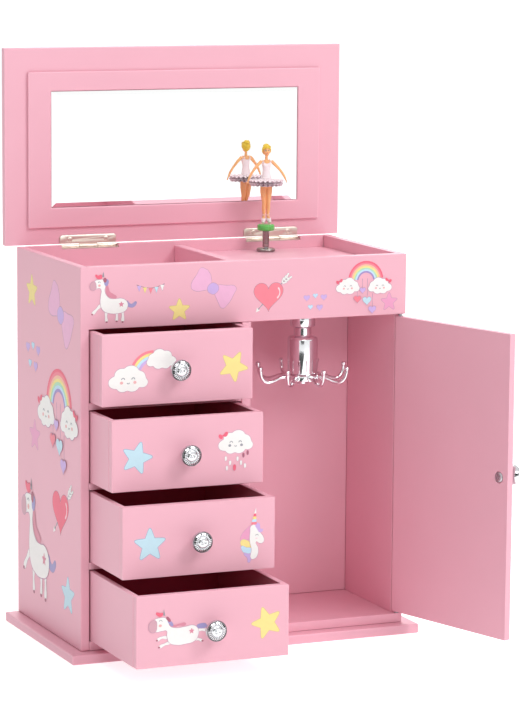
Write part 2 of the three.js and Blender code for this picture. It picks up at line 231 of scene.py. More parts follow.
def bead(name, centre, radii, rings=16, steps=24, place=None):
    # a rounded lump: a sphere drawn out along each axis, in mm
    clearPick()
    bpy.ops.mesh.primitive_uv_sphere_add(segments=steps, ring_count=rings, radius=mm)
    piece = newest(name)
    piece.scale = radii
    piece.location = Vector(centre) * mm
    settle(piece, place)
    return smooth(piece, 60)


# shader maths
class Value:
    # one socket of a recipe, so that sums are written as Python
    def __init__(self, recipe, socket):
        self.recipe = recipe
        self.socket = socket

    def maths(self, operation, first, second):
        return self.recipe.node("Math", {"operation": operation}, {0: first, 1: second})

    def __add__(self, other):
        return self.maths("ADD", self, other)

    def __radd__(self, other):
        return self.maths("ADD", other, self)

    def __sub__(self, other):
        return self.maths("SUBTRACT", self, other)

    def __rsub__(self, other):
        return self.maths("SUBTRACT", other, self)

    def __mul__(self, other):
        return self.maths("MULTIPLY", self, other)

    def __rmul__(self, other):
        return self.maths("MULTIPLY", other, self)

    def __gt__(self, other):
        return self.maths("GREATER_THAN", self, other)

    def __lt__(self, other):
        return self.maths("LESS_THAN", self, other)


class Nodes:
    # a material's tree of nodes, or the room's
    def __init__(self, tree):
        self.tree = tree

    def node(self, kind, settings=None, inputs=None, out=0):
        made = self.tree.nodes.new("ShaderNode" + kind)
        for key, value in (settings or {}).items():
            if key == "stops":
                for stop, (place, colour) in zip(made.color_ramp.elements, value):
                    stop.position, stop.color = place, colour
            else:
                setattr(made, key, value)
        for key, value in (inputs or {}).items():
            self.feed(made.inputs[key], value)
        return Value(self, made.outputs[out])

    def feed(self, socket, value):
        if isinstance(value, Value):
            self.tree.links.new(value.socket, socket)
        else:
            socket.default_value = value


class Recipe(Nodes):
    def __init__(self, name, **shader):
        self.material = bpy.data.materials.new(name)
        self.material.use_nodes = True
        super().__init__(self.material.node_tree)
        self.shader = self.tree.nodes["Principled BSDF"]
        for key, value in shader.items():
            self.shader.inputs[key.replace("_", " ")].default_value = value
        self.place = self.node("TexCoord", out="Object")

    def blend(self, factor, first, second):
        return self.node("Mix", {"data_type": "RGBA"}, {0: factor, 6: first, 7: second}, out=2)

    def noise(self, scale, detail=3, place=None):
        return self.node("TexNoise", None,
                         {"Vector": place or self.place, "Scale": scale, "Detail": detail})

    def stretched(self, x, y, z):
        return self.node("Mapping", None, {"Vector": self.place, "Scale": (x, y, z)})

    def finish(self, colour=None, rough=None, height=None, depth=0.0001, coat=None, alpha=None):
        if colour is not None:
            self.feed(self.shader.inputs["Base Color"], colour)
        if rough is not None:
            self.feed(self.shader.inputs["Roughness"], rough)
        if coat is not None:
            self.feed(self.shader.inputs["Coat Weight"], coat)
        if alpha is not None:
            self.feed(self.shader.inputs["Alpha"], alpha)
        if height is not None:
            bump = self.node("Bump", None, {"Height": height, "Distance": depth, "Strength": 1.0})
            self.feed(self.shader.inputs["Normal"], bump)
        return self.material


def shade(colour, k=1.0):
    return tuple(min(1.0, c * k) for c in colour[:3]) + (1.0,)


# finishes
# edge: how much lighter the rounded arrises are painted, a painted highlight
paintLook = {"colour": (0.86, 0.465, 0.555), "edge": 1.06, "cloud": 0.035, "rough": 0.4,
             "orangePeel": 0.00003}


def paintRecipe(name, colour, rough=0.4):
    # sprayed satin paint on fibreboard: faint clouds, orange peel and a few specks of dust
    r = Recipe(name, IOR=1.42, Specular_IOR_Level=0.3)
    clouds = r.noise(14, 4)
    peel = r.noise(900, 2)
    fibres = r.noise(4000, 3)
    specks = r.node("TexVoronoi", None, {"Vector": r.place, "Scale": 420.0}, out="Distance") < 0.035
    tint = r.blend(clouds, shade(colour, 1 - paintLook["cloud"]), shade(colour, 1 + paintLook["cloud"]))
    tint = r.blend(specks * 0.12, tint, shade(colour, 0.8))
    return r.finish(colour=tint, rough=rough - 0.05 + 0.1 * clouds + 0.04 * peel,
                    height=peel + 0.25 * fibres + 0.4 * clouds, depth=paintLook["orangePeel"])


pinkPaint = paintRecipe("pinkPaint", paintLook["colour"], paintLook["rough"])
# a lighter, glossier copy of the paint for the rounded arrises: a painted highlight
pinkEdgeHighlight = paintRecipe("pinkEdgeHighlight", shade(paintLook["colour"], paintLook["edge"]), 0.33)
print("paint mixed")


def inkRecipe(name, colour, rough=0.45):
    # screen-printed ink: a little uneven in depth, with a fine tooth
    r = Recipe(name, IOR=1.48)
    depthOfInk = r.noise(260, 3)
    tooth = r.noise(3000, 2)
    tint = r.blend(depthOfInk, shade(colour, 0.95), shade(colour, 1.04))
    return r.finish(colour=tint, rough=rough + 0.08 * depthOfInk, height=tooth, depth=0.00001)


def metalRecipe(name, colour, rough, scratch=0.05, grain=(1, 1, 1), tarnish=0.12):
    # plated or plain metal: fine scratches along the grain and a faint tarnish
    r = Recipe(name, Metallic=1.0)
    lines = r.noise(1800, 2, r.stretched(*grain))
    clouds = r.noise(55, 4)
    tint = r.blend(clouds * tarnish * 2, colour, shade(colour, 0.72))
    return r.finish(colour=tint, rough=rough + scratch * lines + 0.05 * clouds, height=lines,
                    depth=0.000004)


def plasticRecipe(name, colour, rough=0.3, mottle=0.04, coat=0.0, scatter=0.0, reach=0.001):
    # moulded plastic: slight flow marks and a fine moulded texture
    r = Recipe(name, IOR=1.49)
    r.shader.inputs["Subsurface Weight"].default_value = scatter
    r.shader.inputs["Subsurface Scale"].default_value = reach
    r.shader.inputs["Coat Weight"].default_value = coat
    flow = r.noise(180, 3, r.stretched(1, 1, 0.35))
    texture = r.noise(5200, 2)
    tint = r.blend(flow, shade(colour, 1 - mottle), shade(colour, 1 + mottle))
    return r.finish(colour=tint, rough=rough + 0.08 * flow, height=texture, depth=0.000006)


def shadedLiningRecipe(name, colour):
    # short flock inside the drawers, soft and slightly uneven; its dark colour is painted shade for the deep
    # insides of the drawers
    r = Recipe(name)
    r.shader.inputs["Sheen Weight"].default_value = 0.25
    r.shader.inputs["Sheen Roughness"].default_value = 0.5
    pile = r.noise(2600, 4)
    wear = r.noise(35, 4)
    tint = r.blend(pile, shade(colour, 0.7), shade(colour, 1.25))
    tint = r.blend(wear * 0.3, tint, shade(colour, 1.5))
    return r.finish(colour=tint, rough=0.92 - 0.06 * wear, height=pile, depth=0.00018)


# the lining's dark rose is painted shade for the insides of the drawers
shadedLining = shadedLiningRecipe("drawerLiningShade", (0.52, 0.07, 0.13))
chrome = metalRecipe("chromePlate", (0.86, 0.87, 0.89, 1), 0.05, 0.04)
nickel = metalRecipe("warmNickel", (0.72, 0.63, 0.55, 1), 0.27, 0.18, (1, 12, 12))
steel = metalRecipe("plainSteel", (0.52, 0.53, 0.55, 1), 0.24, 0.16)
postSteel = metalRecipe("postSteel", (0.34, 0.31, 0.29, 1), 0.12, 0.1)
brass = metalRecipe("turnedBrass", (0.70, 0.50, 0.22, 1), 0.25, 0.2)
silvering = metalRecipe("mirrorSilver", (0.985, 0.99, 0.985, 1), 0.003, 0.004, tarnish=0.01)
mirrorEdge = metalRecipe("mirrorEdge", (0.42, 0.44, 0.45, 1), 0.18, 0.1)
gem = metalRecipe("gemSilver", (0.66, 0.67, 0.69, 1), 0.06, 0.03, tarnish=0.05)
# a dark copy of the knob metal: painted shade on the rim and on one side of each prism of the cut knobs
gemShadedSide = metalRecipe("gemShadedSide", (0.17, 0.16, 0.17, 1), 0.08, 0.05, tarnish=0.1)
greenPlastic = plasticRecipe("greenPlastic", (0.13, 0.57, 0.11), 0.25, 0.06, coat=0.3, scatter=0.3)
print("metals, plastics and lining mixed")


# painted boards
def board(node, soften=0.7, sharp=None, name=None):
    # the board of the frame with its corners merged and its arrises rounded over; the rounded strips take a
    # lighter paint as a painted highlight
    piece = bpy.data.objects.new(name or node + "_painted", nodes[node].data.copy())
    bpy.context.scene.collection.objects.link(piece)
    paint(piece, pinkPaint, pinkEdgeHighlight)
    editAll(piece)
    bpy.ops.mesh.remove_doubles(threshold=1e-6)
    bpy.ops.mesh.dissolve_limited(angle_limit=math.radians(0.5))
    leaveEdit()
    chooseEdges(piece, lambda mid, along: not (sharp and sharp(mid)))
    bpy.ops.mesh.bevel(offset=soften * mm, segments=3, profile=0.5, material=1, clamp_overlap=True)
    leaveEdit()
    smooth(piece, 40)
    useModifier(piece, "WEIGHTED_NORMAL", keep_sharp=True, weight=100)
    return piece


def near(a, b, slack=0.0004):
    return abs(a - b) < slack


fasciaLow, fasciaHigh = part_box("front_fascia")
sideLow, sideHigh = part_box("side_panel_left")
caseLeft, caseRight = sideLow.x, fasciaHigh.x
caseFront, leftInside = fasciaLow.y, sideHigh.x

# the fascia is filled and painted over where it meets the left side, so no joint shows there
fascia = board("front_fascia", 0.6, lambda mid: near(mid.x, fasciaLow.x, 0.001))
chooseFaces(fascia, lambda c, n: n.x < -0.9 and near(c.x, fasciaLow.x, 0.001))
bpy.ops.transform.translate(value=(leftInside - fasciaLow.x, 0, 0))
leaveEdit()
seat(fascia, "front_fascia")
leftSide = board("side_panel_left", 0.6, lambda mid: near(mid.x, leftInside) and near(mid.y, caseFront))
seat(leftSide, "side_panel_left")
for node, soften in {"base_board": 1.0, "side_panel_right": 0.6, "back_panel": 0.35, "bottom_panel": 0.3,
                     "centre_partition": 0.5, "drawer_shelf_1": 0.5, "drawer_shelf_2": 0.5,
                     "drawer_shelf_3": 0.5, "cabinet_back": 0.3, "floor_board": 0.3, "tray_divider": 0.9,
                     "music_deck": 0.4, "door_panel": 0.8, "lid_board": 0.9, "lid_frame": 0.9}.items():
    seat(board(node, soften), node)
print("boards painted")


# drawers
drawerLook = {"wall": 4.2, "liningThick": 0.25, "knobRoom": 6.2}


def drawer(number):
    front = board(f"drawer_{number}_front", 0.8)
    seat(front, f"drawer_{number}_front")
    tray = board(f"drawer_{number}_box", 0.5)
    trayLow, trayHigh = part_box(f"drawer_{number}_box")
    middle = (trayLow + trayHigh) / 2
    wall = drawerLook["wall"] * mm
    tray.data.materials.append(shadedLining)

    def inside(c, n):
        return (trayLow.x + wall * 0.9 < c.x < trayHigh.x - wall * 0.9 and c.y < trayHigh.y - wall * 0.9
                and trayLow.z + 2.9 * mm < c.z < trayHigh.z - 0.6 * mm
                and (Vector((middle.x, middle.y, trayHigh.z)) - c).dot(n) > 0)
    # the inner walls and floor of each drawer take the dark lining: painted shade
    chooseFaces(tray, inside)
    tray.active_material_index = 2
    bpy.ops.object.material_slot_assign()
    leaveEdit()
    seat(tray, f"drawer_{number}_box")
    # the front's own back gets the same dark lining where it closes the drawer, as painted shade
    faceLow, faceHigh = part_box(f"drawer_{number}_front")
    clearPick()
    bpy.ops.mesh.primitive_plane_add(size=1)
    pad = newest(f"drawer_{number}_front_shade_lining")
    pad.scale = (faceHigh.x - faceLow.x - 2 * wall - 0.4 * mm, trayHigh.z - trayLow.z - 4 * mm, 1)
    pad.rotation_euler = (math.radians(-90), 0, 0)
    pad.location = (middle.x, faceHigh.y, middle.z + 0.9 * mm)
    settle(pad)
    knobHole = midOf(f"drawer_{number}_knob")
    bpy.ops.object.mode_set(mode="EDIT")
    bpy.ops.mesh.select_all(action="SELECT")
    bpy.ops.mesh.subdivide(number_cuts=14)
    leaveEdit()
    chooseFaces(pad, lambda c, n: max(abs(c.x - knobHole.x), abs(c.z - knobHole.z))
                < drawerLook["knobRoom"] * mm)
    bpy.ops.mesh.delete(type="FACE")
    leaveEdit()
    useModifier(pad, "SOLIDIFY", thickness=drawerLook["liningThick"] * mm, offset=1.0)
    paint(pad, shadedLining)
    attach(pad, f"drawer_{number}")


for number in (1, 2, 3, 4):
    drawer(number)
print("drawers built")

# mirror
mirrorLook = {"bevelWide": 3.2, "bevelDeep": 0.5}
low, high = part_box("mirror")
clearPick()
bpy.ops.mesh.primitive_cube_add(size=1)
mirror = newest("mirror_glass")
mirror.scale = high - low
mirror.location = (low + high) / 2
settle(mirror)
chooseFaces(mirror, lambda c, n: n.y < -0.9)
bpy.ops.mesh.inset(thickness=mirrorLook["bevelWide"] * mm, depth=0)
leaveEdit()
# the rim of the glass is ground back behind the flat middle
rimOfGlass = [v.index for v in mirror.data.vertices
              if near(v.co.y,
                      low.y) and (near(abs(v.co.x), high.x) or near(v.co.z, low.z) or near(v.co.z, high.z))]
for index in rimOfGlass:
    mirror.data.vertices[index].co.y += mirrorLook["bevelDeep"] * mm
mirror.data.update()
chooseEdges(mirror, lambda mid, along: mid.y < low.y + 0.6 * mm)
bpy.ops.mesh.bevel(offset=0.15 * mm, segments=1, material=1)
leaveEdit()
paint(mirror, silvering, mirrorEdge)
seat(mirror, "mirror")
print("mirror ground")

# hinges
hingeLook = {"soften": 0.12, "screwR": 1.75, "screwProud": 0.35, "slotWide": 0.34,
             "lidScrewShare": 0.32, "bodyScrewShare": 0.36,  # of the leaf's length, each side of its middle
             "lidScrewIn": 0.85, "lidScrewUp": 5, "bodyScrewIn": 4.65, "bodyScrewUp": 0.75}


def phillips(name, headR, proud, slotWide, finish):
    # a domed screw head about +Z with a cross recess cut in it
    profile = [(headR, 0), (headR, proud * 0.35), (headR * 0.86, proud * 0.8), (headR * 0.5, proud),
               (0, proud)]
    head = turned(name, profile, 32)
    clearPick()
    bpy.ops.mesh.primitive_cube_add(size=1, location=(0, 0, proud * mm))
    cross = newest("cross")
    cross.scale = (headR * 1.15 * mm, slotWide * mm, proud * 1.3 * mm)
    settle(cross)
    bpy.ops.object.mode_set(mode="EDIT")
    bpy.ops.mesh.select_all(action="SELECT")
    bpy.ops.mesh.bevel(offset=slotWide * 0.12 * mm, segments=1)
    leaveEdit()
    second = copyPiece(cross, "crossTwo", Matrix.Rotation(math.pi / 2, 4, "Z"))
    for cutter in (cross, second):
        useModifier(head, "BOOLEAN", operation="DIFFERENCE", object=cutter, solver="EXACT")
    for cutter in (cross, second):
        bpy.data.objects.remove(cutter)
    return paint(head, finish)


def softMetal(node, finish, soften, angle=30):
    piece = bpy.data.objects.new(node + "_plated", nodes[node].data.copy())
    bpy.context.scene.collection.objects.link(piece)
    paint(piece, finish)
    editAll(piece)
    bpy.ops.mesh.remove_doubles(threshold=1e-6)
    bpy.ops.mesh.dissolve_limited(angle_limit=math.radians(0.5))
    leaveEdit()
    useModifier(piece, "BEVEL", width=soften * mm, segments=2, limit_method="ANGLE",
                angle_limit=math.radians(angle))
    return smooth(piece, 35)


screwHead = phillips("hingeScrew", hingeLook["screwR"], hingeLook["screwProud"], hingeLook["slotWide"],
                     nickel)
toFront = Matrix.Rotation(math.pi / 2, 4, "X")
for side in ("left", "right"):
    for leaf in ("body", "lid"):
        node = f"hinge_{side}_{leaf}_leaf"
        plate = softMetal(node, nickel, hingeLook["soften"])
        low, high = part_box(node)
        middle = (low + high) / 2
        share = hingeLook[leaf + "ScrewShare"]
        screws = []
        for k in (-share, share):
            x = middle.x + k * (high.x - low.x)
            if leaf == "lid":
                pivotZ = jointOf("lid_hinge")["pos_m"][2]
                place = Matrix.Translation((x, high.y - hingeLook["lidScrewIn"] * mm,
                                            pivotZ + hingeLook["lidScrewUp"] * mm)) @ toFront
            else:
                place = Matrix.Translation((x, high.y - hingeLook["bodyScrewIn"] * mm,
                                            low.z + hingeLook["bodyScrewUp"] * mm))
            screws.append(copyPiece(screwHead, "screw", place @ Matrix.Rotation(0.5 + 9 * x, 4, "Z")))
        plate = join(node + "_plated", [plate] + screws)
        seat(plate, node)
bpy.data.objects.remove(screwHead)
print("hinges set")

# knobs: silvered cut-plastic heads on a plated neck, each with its screw behind
knobLook = {"faceR": 7.35, "prisms": 26, "screwR": 3.6, "screwSlot": 0.55}


def cutKnob():
    # stands on z = 0 and rises along +Z: a plated neck, a round body, a crown of small prisms
    # and a domed middle; the rim and one side of each prism are painted shade in a darker copy of the metal
    r = knobLook["faceR"]
    body = turned("knobBody",
                  [(3.3, 4.3), (5.0, 5.3), (r - 0.5, 7.2), (r, 8.0), (r, 9.8), (r - 0.25, 10.35)], 96,
                  angle=28)
    paint(body, gem)
    # the rim takes the dark copy of the metal: painted shade
    rim = turned("knobRim", [(r - 0.15, 10.1), (r - 0.05, 10.4), (r - 0.35, 10.75), (r - 0.75, 10.55)], 96)
    paint(rim, gemShadedSide)
    crown = turned("knobCrown",
                   [(r - 0.7, 10.1), (r - 0.7, 10.5), (5.4, 11.35), (4.35, 11.25), (4.1, 10.7)],
                   2 * knobLook["prisms"], angle=5)
    for radius, fall in ((r - 0.7, 0.1), (5.4, 0.42), (4.35, 0.3)):
        pick(crown)
        mesh = crown.data
        valleys = [abs(math.hypot(v.co.x, v.co.y) - radius * mm) < 1e-5 and v.co.z > 10.4 * mm
                   and round(math.atan2(v.co.y,
                                        v.co.x) / math.pi * knobLook["prisms"]) % 2 == 1
                   for v in mesh.vertices]
        mesh.polygons.foreach_set("select", [False] * len(mesh.polygons))
        mesh.edges.foreach_set("select", [False] * len(mesh.edges))
        mesh.vertices.foreach_set("select", valleys)
        bpy.context.tool_settings.mesh_select_mode = (True, False, False)
        bpy.ops.object.mode_set(mode="EDIT")
        bpy.ops.transform.translate(value=(0, 0, -fall * mm))
        leaveEdit()
    paint(crown, gem, gemShadedSide)
    # one side of each prism takes the dark copy of the metal, as painted shade
    chooseFaces(crown, lambda c,
                n: 4.5 * mm < math.hypot(c.x, c.y) < 6.3 * mm and n.x * c.y - n.y * c.x > 0)
    crown.active_material_index = 1
    bpy.ops.object.material_slot_assign()
    leaveEdit()
    dome = turned("knobDome",
                  [(4.2, 10.6), (4.0, 11.2), (3.2, 11.75), (2.1, 12.0), (1.8, 11.65), (1.1, 11.6),
                   (0.9, 12.0), (0.5, 12.15), (0, 12.2)],
                  72, angle=60)
    paint(dome, gem)
    foot = turned("knobFoot",
                  [(3.9, 0), (3.9, 0.7), (3.5, 1.3), (2.7, 2.0), (2.5, 3.2), (2.7, 4.0), (3.3, 4.5)], 48)
    paint(foot, chrome)
    return join("knobModel", [body, rim, crown, dome, foot])


knobModel = cutKnob()
screwModel = phillips("knobScrew", knobLook["screwR"], 0.9, knobLook["screwSlot"], steel)
for number in (1, 2, 3, 4):
    node = f"drawer_{number}_knob"
    low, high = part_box(node)
    middle = (low + high) / 2
    place = Matrix.Translation((middle.x, high.y, middle.z)) @ toFront @ Matrix.Rotation(0.31 * number, 4,
                                                                                         "Z")
    seat(copyPiece(knobModel, node + "_cut", place), node)
    low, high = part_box(node + "_screw")
    toBack = Matrix.Translation((middle.x, high.y - 1.1 * mm, middle.z)) @ Matrix.Rotation(-math.pi / 2, 4,
                                                                                           "X")
    seat(copyPiece(screwModel, node + "_screw_head", toBack @ Matrix.Rotation(0.7 * number, 4, "Z")),
         node + "_screw")

# the door stands open, so its knob and screw are turned with it about the pins
doorHinge = jointOf("door_hinge")
openBy = -math.radians(doorHinge["range_deg"][0])
doorTurn = Matrix.Rotation(openBy, 3, "Z")
out = doorTurn @ Vector((0, -1, 0))
middle = midOf("door_knob")
reach = 11.9 * mm  # from the door to the front of the knob's node
knobGap, doorToScrew = 0.3 * mm, 3.7 * mm
doorFrame = Matrix((doorTurn @ Vector((1, 0, 0)), Vector((0, 0, 1)), out)).transposed().to_4x4()
seat(copyPiece(knobModel, "door_knob_cut", Matrix.Translation(middle - out * reach / 2) @ doorFrame),
     "door_knob")
inFrame = Matrix((doorTurn @ Vector((-1, 0, 0)), Vector((0, 0, 1)), -out)).transposed().to_4x4()
seat(copyPiece(screwModel, "door_knob_screw_head",
               Matrix.Translation(middle - out * (reach / 2 + knobGap + doorToScrew)) @ inFrame
               @ Matrix.Rotation(0.4, 4, "Z")), "door_knob_screw")
bpy.data.objects.remove(knobModel)
bpy.data.objects.remove(screwModel)
print("knobs cut")

# necklace carousel
hubLow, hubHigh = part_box("carousel_hub")
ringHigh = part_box("hook_ring")[1]
hubAxis = (hubLow + hubHigh) / 2
hubHeight = (hubHigh.z - hubLow.z) / mm
onHub = Matrix.Translation((hubAxis.x, hubAxis.y, hubLow.z))
carouselLook = {"hooks": 8, "firstHook": 3, "wire": 1.45, "tip": 1.95}
hub = turned("hubModel",
             [(4.0, 0), (4.6, 0.5), (4.9, 1.7), (6.2, 2.1), (8.6, 2.6), (10.3, 4.6), (10.6, 6.6),
                          (10.6, 7.4), (11.0, 8.0), (11.1, 8.6), (11.1, 32.4), (10.9, 33.6), (10.2, 34.7),
                          (8.2, 35.3), (6.8, 35.6), (6.4, 36.2), (6.4, 41.4), (6.9, 42.0), (8.9, 42.6),
                          (9.3, 43.4), (9.3, hubHeight - 1.9), (8.9, hubHeight - 0.9), (7.4, hubHeight)],
             96, onHub, angle=28)
paint(hub, chrome)
useModifier(hub, "BEVEL", width=0.12 * mm, segments=2, limit_method="ANGLE", angle_limit=math.radians(40))
seat(smooth(hub, 40), "carousel_hub")

hookPath = [(10.9, 3.2), (14, 3.25), (18, 2.7), (22, 1.2), (26, 0.1), (29.5, 0.6), (32.2, 2.9), (33.6, 6.2),
            (34.1, 10.0)]
hookRise = ringHigh.z / mm - carouselLook["tip"] - 10.4
wire = carouselLook["wire"]
oneHook = tube("hookModel", [(r, 0, z) for r, z in hookPath],
               [wire * 1.25, wire * 1.15, wire, wire, wire, wire, wire * 0.98, wire * 0.95, wire * 0.95], 6,
               6)
oneTip = bead("hookTip", (34.15, 0, 10.4), (carouselLook["tip"],) * 3, 14, 20)
oneCollar = turned("hookCollar", [(2.1, -1.3), (2.5, -1.0), (2.5, 1.0), (2.1, 1.3)], 28,
                   Matrix.Translation((13.2 * mm, 0, 3.2 * mm)) @ Matrix.Rotation(math.pi / 2, 4, "Y"))
oneHook = join("hookModel", [oneHook, oneTip, oneCollar])
hooks = []
for k in range(carouselLook["hooks"]):
    spin = math.radians(carouselLook["firstHook"] + 360 * k / carouselLook["hooks"])
    place = Matrix.Translation((hubAxis.x, hubAxis.y, hookRise * mm)) @ Matrix.Rotation(spin, 4, "Z")
    hooks.append(copyPiece(oneHook, "hook", place))
bpy.data.objects.remove(oneHook)
band = turned("hookBand", [(12.3, 0.7), (12.8, 1.1), (12.95, 2.9), (12.8, 4.7), (12.3, 5.1), (11.25, 5.1)],
              96,
              Matrix.Translation((hubAxis.x, hubAxis.y, hookRise * mm)))
ring = join("hook_ring_plated", [band] + hooks)
paint(ring, chrome)
seat(smooth(ring, 50), "hook_ring")
nodes["carousel_stem"].data.materials.clear()
nodes["carousel_stem"].data.materials.append(chrome)
print("carousel hung")

# printed pictures
# each picture is drawn flat in mm about its own middle, x to the right and y up, in layers of ink
inks = {name: inkRecipe("ink" + name, colour) for name, colour in {
    "White": (0.92, 0.90, 0.88), "Outline": (0.36, 0.20, 0.26), "PaleLine": (0.56, 0.31, 0.44),
    "Yellow": (0.93, 0.76, 0.28), "Gold": (0.70, 0.50, 0.22), "Blue": (0.55, 0.76, 0.86),
    "DeepBlue": (0.22, 0.40, 0.58),
    "Lilac": (0.63, 0.44, 0.80), "Rose": (0.84, 0.36, 0.56), "RosePale": (0.87, 0.47, 0.68),
    "Red": (0.87, 0.14, 0.22),
    "Coral": (0.90, 0.235, 0.30), "Peach": (0.93, 0.52, 0.38), "Green": (0.45, 0.74, 0.52),
    "Sky": (0.55, 0.76, 0.92),
    "Violet": (0.36, 0.27, 0.58), "Blush": (0.85, 0.45, 0.45), "Grey": (0.33, 0.33, 0.37),
    "Maroon": (0.42, 0.12, 0.18),
    "Shine": (0.96, 0.72, 0.76), "Muzzle": (0.66, 0.37, 0.44),
    "Mane": (0.72, 0.27, 0.36), "Slate": (0.36, 0.32, 0.58)}.items()}
printLook = {"lift": 0.02, "film": 0.014}  # mm: first layer off the board, and each layer above the last


class Picture:
    def __init__(self, name, scale=1.0, tall=1.0):
        self.name, self.scale, self.tall, self.parts, self.layer = name, scale, scale * tall, [], 0

    def shape(self, points, ink, soft=True):
        # one flat patch of ink inside the points
        clearPick()
        line = bpy.data.curves.new("patch", "CURVE")
        line.dimensions = "2D"
        line.fill_mode = "BOTH"
        line.resolution_u = 4 if soft else 1
        line.extrude = printLook["film"] * mm * 0.45
        spline = line.splines.new("BEZIER" if soft else "POLY")
        if soft:
            spline.bezier_points.add(len(points) - 1)
            for knot, (x, y) in zip(spline.bezier_points, points):
                knot.co = (x * mm * self.scale, y * mm * self.tall, 0)
                knot.handle_left_type = knot.handle_right_type = "AUTO"
        else:
            spline.points.add(len(points) - 1)
            for knot, (x, y) in zip(spline.points, points):
                knot.co = (x * mm * self.scale, y * mm * self.tall, 0, 1)
        spline.use_cyclic_u = True
        patch = bpy.data.objects.new("patch", line)
        bpy.context.scene.collection.objects.link(patch)
        pick(patch)
        bpy.ops.object.convert(target="MESH")
        patch.location.z = (printLook["lift"] + self.layer * printLook["film"]) * mm
        bpy.ops.object.transform_apply(location=True, rotation=True, scale=True)
        self.layer += 1
        paint(patch, inks[ink])
        self.parts.append(patch)

    def oval(self, x, y, rx, ry, ink, turn=0.0, count=12):
        c, s = math.cos(turn), math.sin(turn)
        self.shape([(x + rx * math.cos(a) * c - ry * math.sin(a) * s,
                     y + rx * math.cos(a) * s + ry * math.sin(a) * c)
                    for a in (2 * math.pi * k / count for k in range(count))], ink)

    def stroke(self, points, wide, ink):
        # a line of even width, narrowed a little at its ends
        left, right = [], []
        for i, (x, y) in enumerate(points):
            x0, y0 = points[max(i - 1, 0)]
            x1, y1 = points[min(i + 1, len(points) - 1)]
            length = math.hypot(x1 - x0, y1 - y0)
            half = wide / 2 * (0.7 if i in (0, len(points) - 1) else 1)
            nx, ny = -(y1 - y0) / length * half, (x1 - x0) / length * half
            left.append((x + nx, y + ny))
            right.append((x - nx, y - ny))
        self.shape(left + right[::-1], ink)

    def done(self, place, body):
        picture = join(self.name, self.parts)
        faceOut(picture)
        settle(picture, place)
        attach(picture, body)
        return picture


def grown(points, by):
    # the outline moved outwards by the width of its border
    result = []
    n = len(points)
    area = sum(points[i][0] * points[(i + 1) % n][1] - points[(i + 1) % n][0] * points[i][1]
               for i in range(n))
    sign = 1 if area > 0 else -1
    for i, (x, y) in enumerate(points):
        x0, y0 = points[i - 1]
        x1, y1 = points[(i + 1) % n]
        length = math.hypot(x1 - x0, y1 - y0) or 1
        result.append((x + sign * (y1 - y0) / length * by, y - sign * (x1 - x0) / length * by))
    return result


def bordered(picture, points, ink, border, wide=0.3, soft=True):
    picture.shape(grown(points, wide), border, soft)
    picture.shape(points, ink, soft)


def starPoints(r, tip=0.0, waist=0.5):
    # five points with slightly rounded tips
    points = []
    for k in range(5):
        a = math.radians(tip + 72 * k)
        for da, size in ((-0.11, 0.9), (-0.045, 0.985), (0, 1), (0.045, 0.985), (0.11, 0.9)):
            points.append((r * size * math.cos(a + da), r * size * math.sin(a + da)))
        points.append((r * waist * math.cos(a + math.pi / 5), r * waist * math.sin(a + math.pi / 5)))
    return points


def star(name, r, tip, ink, border):
    picture = Picture(name)
    bordered(picture, starPoints(r, tip), ink, border, 0.3, soft=False)
    return picture


def heartPoints(w, cx=0.0, cy=0.0, turn=0.0):
    c, s = math.cos(turn), math.sin(turn)
    points = []
    for k in range(28):
        t = 2 * math.pi * k / 28
        x = 16 * math.sin(t) ** 3 / 32 * w
        y = (13 * math.cos(t) - 5 * math.cos(2 * t) - 2 * math.cos(3 * t) - math.cos(4 * t)) / 32 * w
        points.append((cx + x * c - y * s, cy + x * s + y * c))
    return points


def puff(circles, count=44):
    # the outline of round puffs run together, seen from their middle
    points = []
    for k in range(count):
        a = 2 * math.pi * k / count
        dx, dy = math.cos(a), math.sin(a)
        reach = 0
        for x, y, r in circles:
            along = x * dx + y * dy
            across = x * dy - y * dx
            if abs(across) < r:
                reach = max(reach, along + math.sqrt(r * r - across * across))
        points.append((reach * dx, reach * dy))
    return points


def cloud(picture, cx, cy, w, blush="Blush", bow=None, face=True, flip=1):
    # w is the cloud's width; its face smiles with shut eyes
    circles = [(-0.34, -0.08, 0.16), (-0.16, 0.10, 0.19), (0.07, 0.14, 0.22), (0.27, 0.04, 0.17),
               (0.36, -0.1, 0.14),
               (0.1, -0.14, 0.2), (-0.14, -0.16, 0.18)]
    points = [(cx + x * w * flip, cy + y * w * 0.9) for x, y in puff(circles)]
    bordered(picture, points, "White", "PaleLine", 0.28)
    if face:
        for side in (-1, 1):
            ex = cx + side * 0.13 * w
            picture.stroke([(ex - 0.045 * w, cy - 0.01 * w), (ex, cy + 0.03 * w),
                            (ex + 0.045 * w, cy - 0.01 * w)],
                           0.018 * w, "Grey")
            picture.oval(cx + side * 0.17 * w, cy - 0.085 * w, 0.042 * w, 0.036 * w, blush)
        picture.stroke([(cx - 0.035 * w, cy - 0.09 * w), (cx, cy - 0.115 * w),
                        (cx + 0.035 * w, cy - 0.09 * w)],
                       0.016 * w, "Grey")
    if bow:
        bx, by = cx - 0.36 * w * flip, cy + 0.2 * w
        for side in (-1, 1):
            picture.oval(bx + side * 0.075 * w, by + side * 0.03 * w * flip, 0.075 * w, 0.052 * w, bow,
                         0.9 * side)
        picture.oval(bx, by, 0.028 * w, 0.028 * w, bow)


def rainbow(picture, cx, cy, outer, inner, colours, start=0, end=180, squeeze=1.0):
    # bands from the outside in, each laid over the last
    step = (outer - inner) / len(colours)
    for i, ink in enumerate(colours):
        ro, ri = outer - i * step, inner
        angles = [math.radians(start + (end - start) * k / 18) for k in range(19)]
        points = [(cx + ro * math.cos(a) * squeeze, cy + ro * math.sin(a)) for a in angles]
        points += [(cx + ri * math.cos(a) * squeeze, cy + ri * math.sin(a)) for a in reversed(angles)]
        picture.shape(points, ink, soft=False)


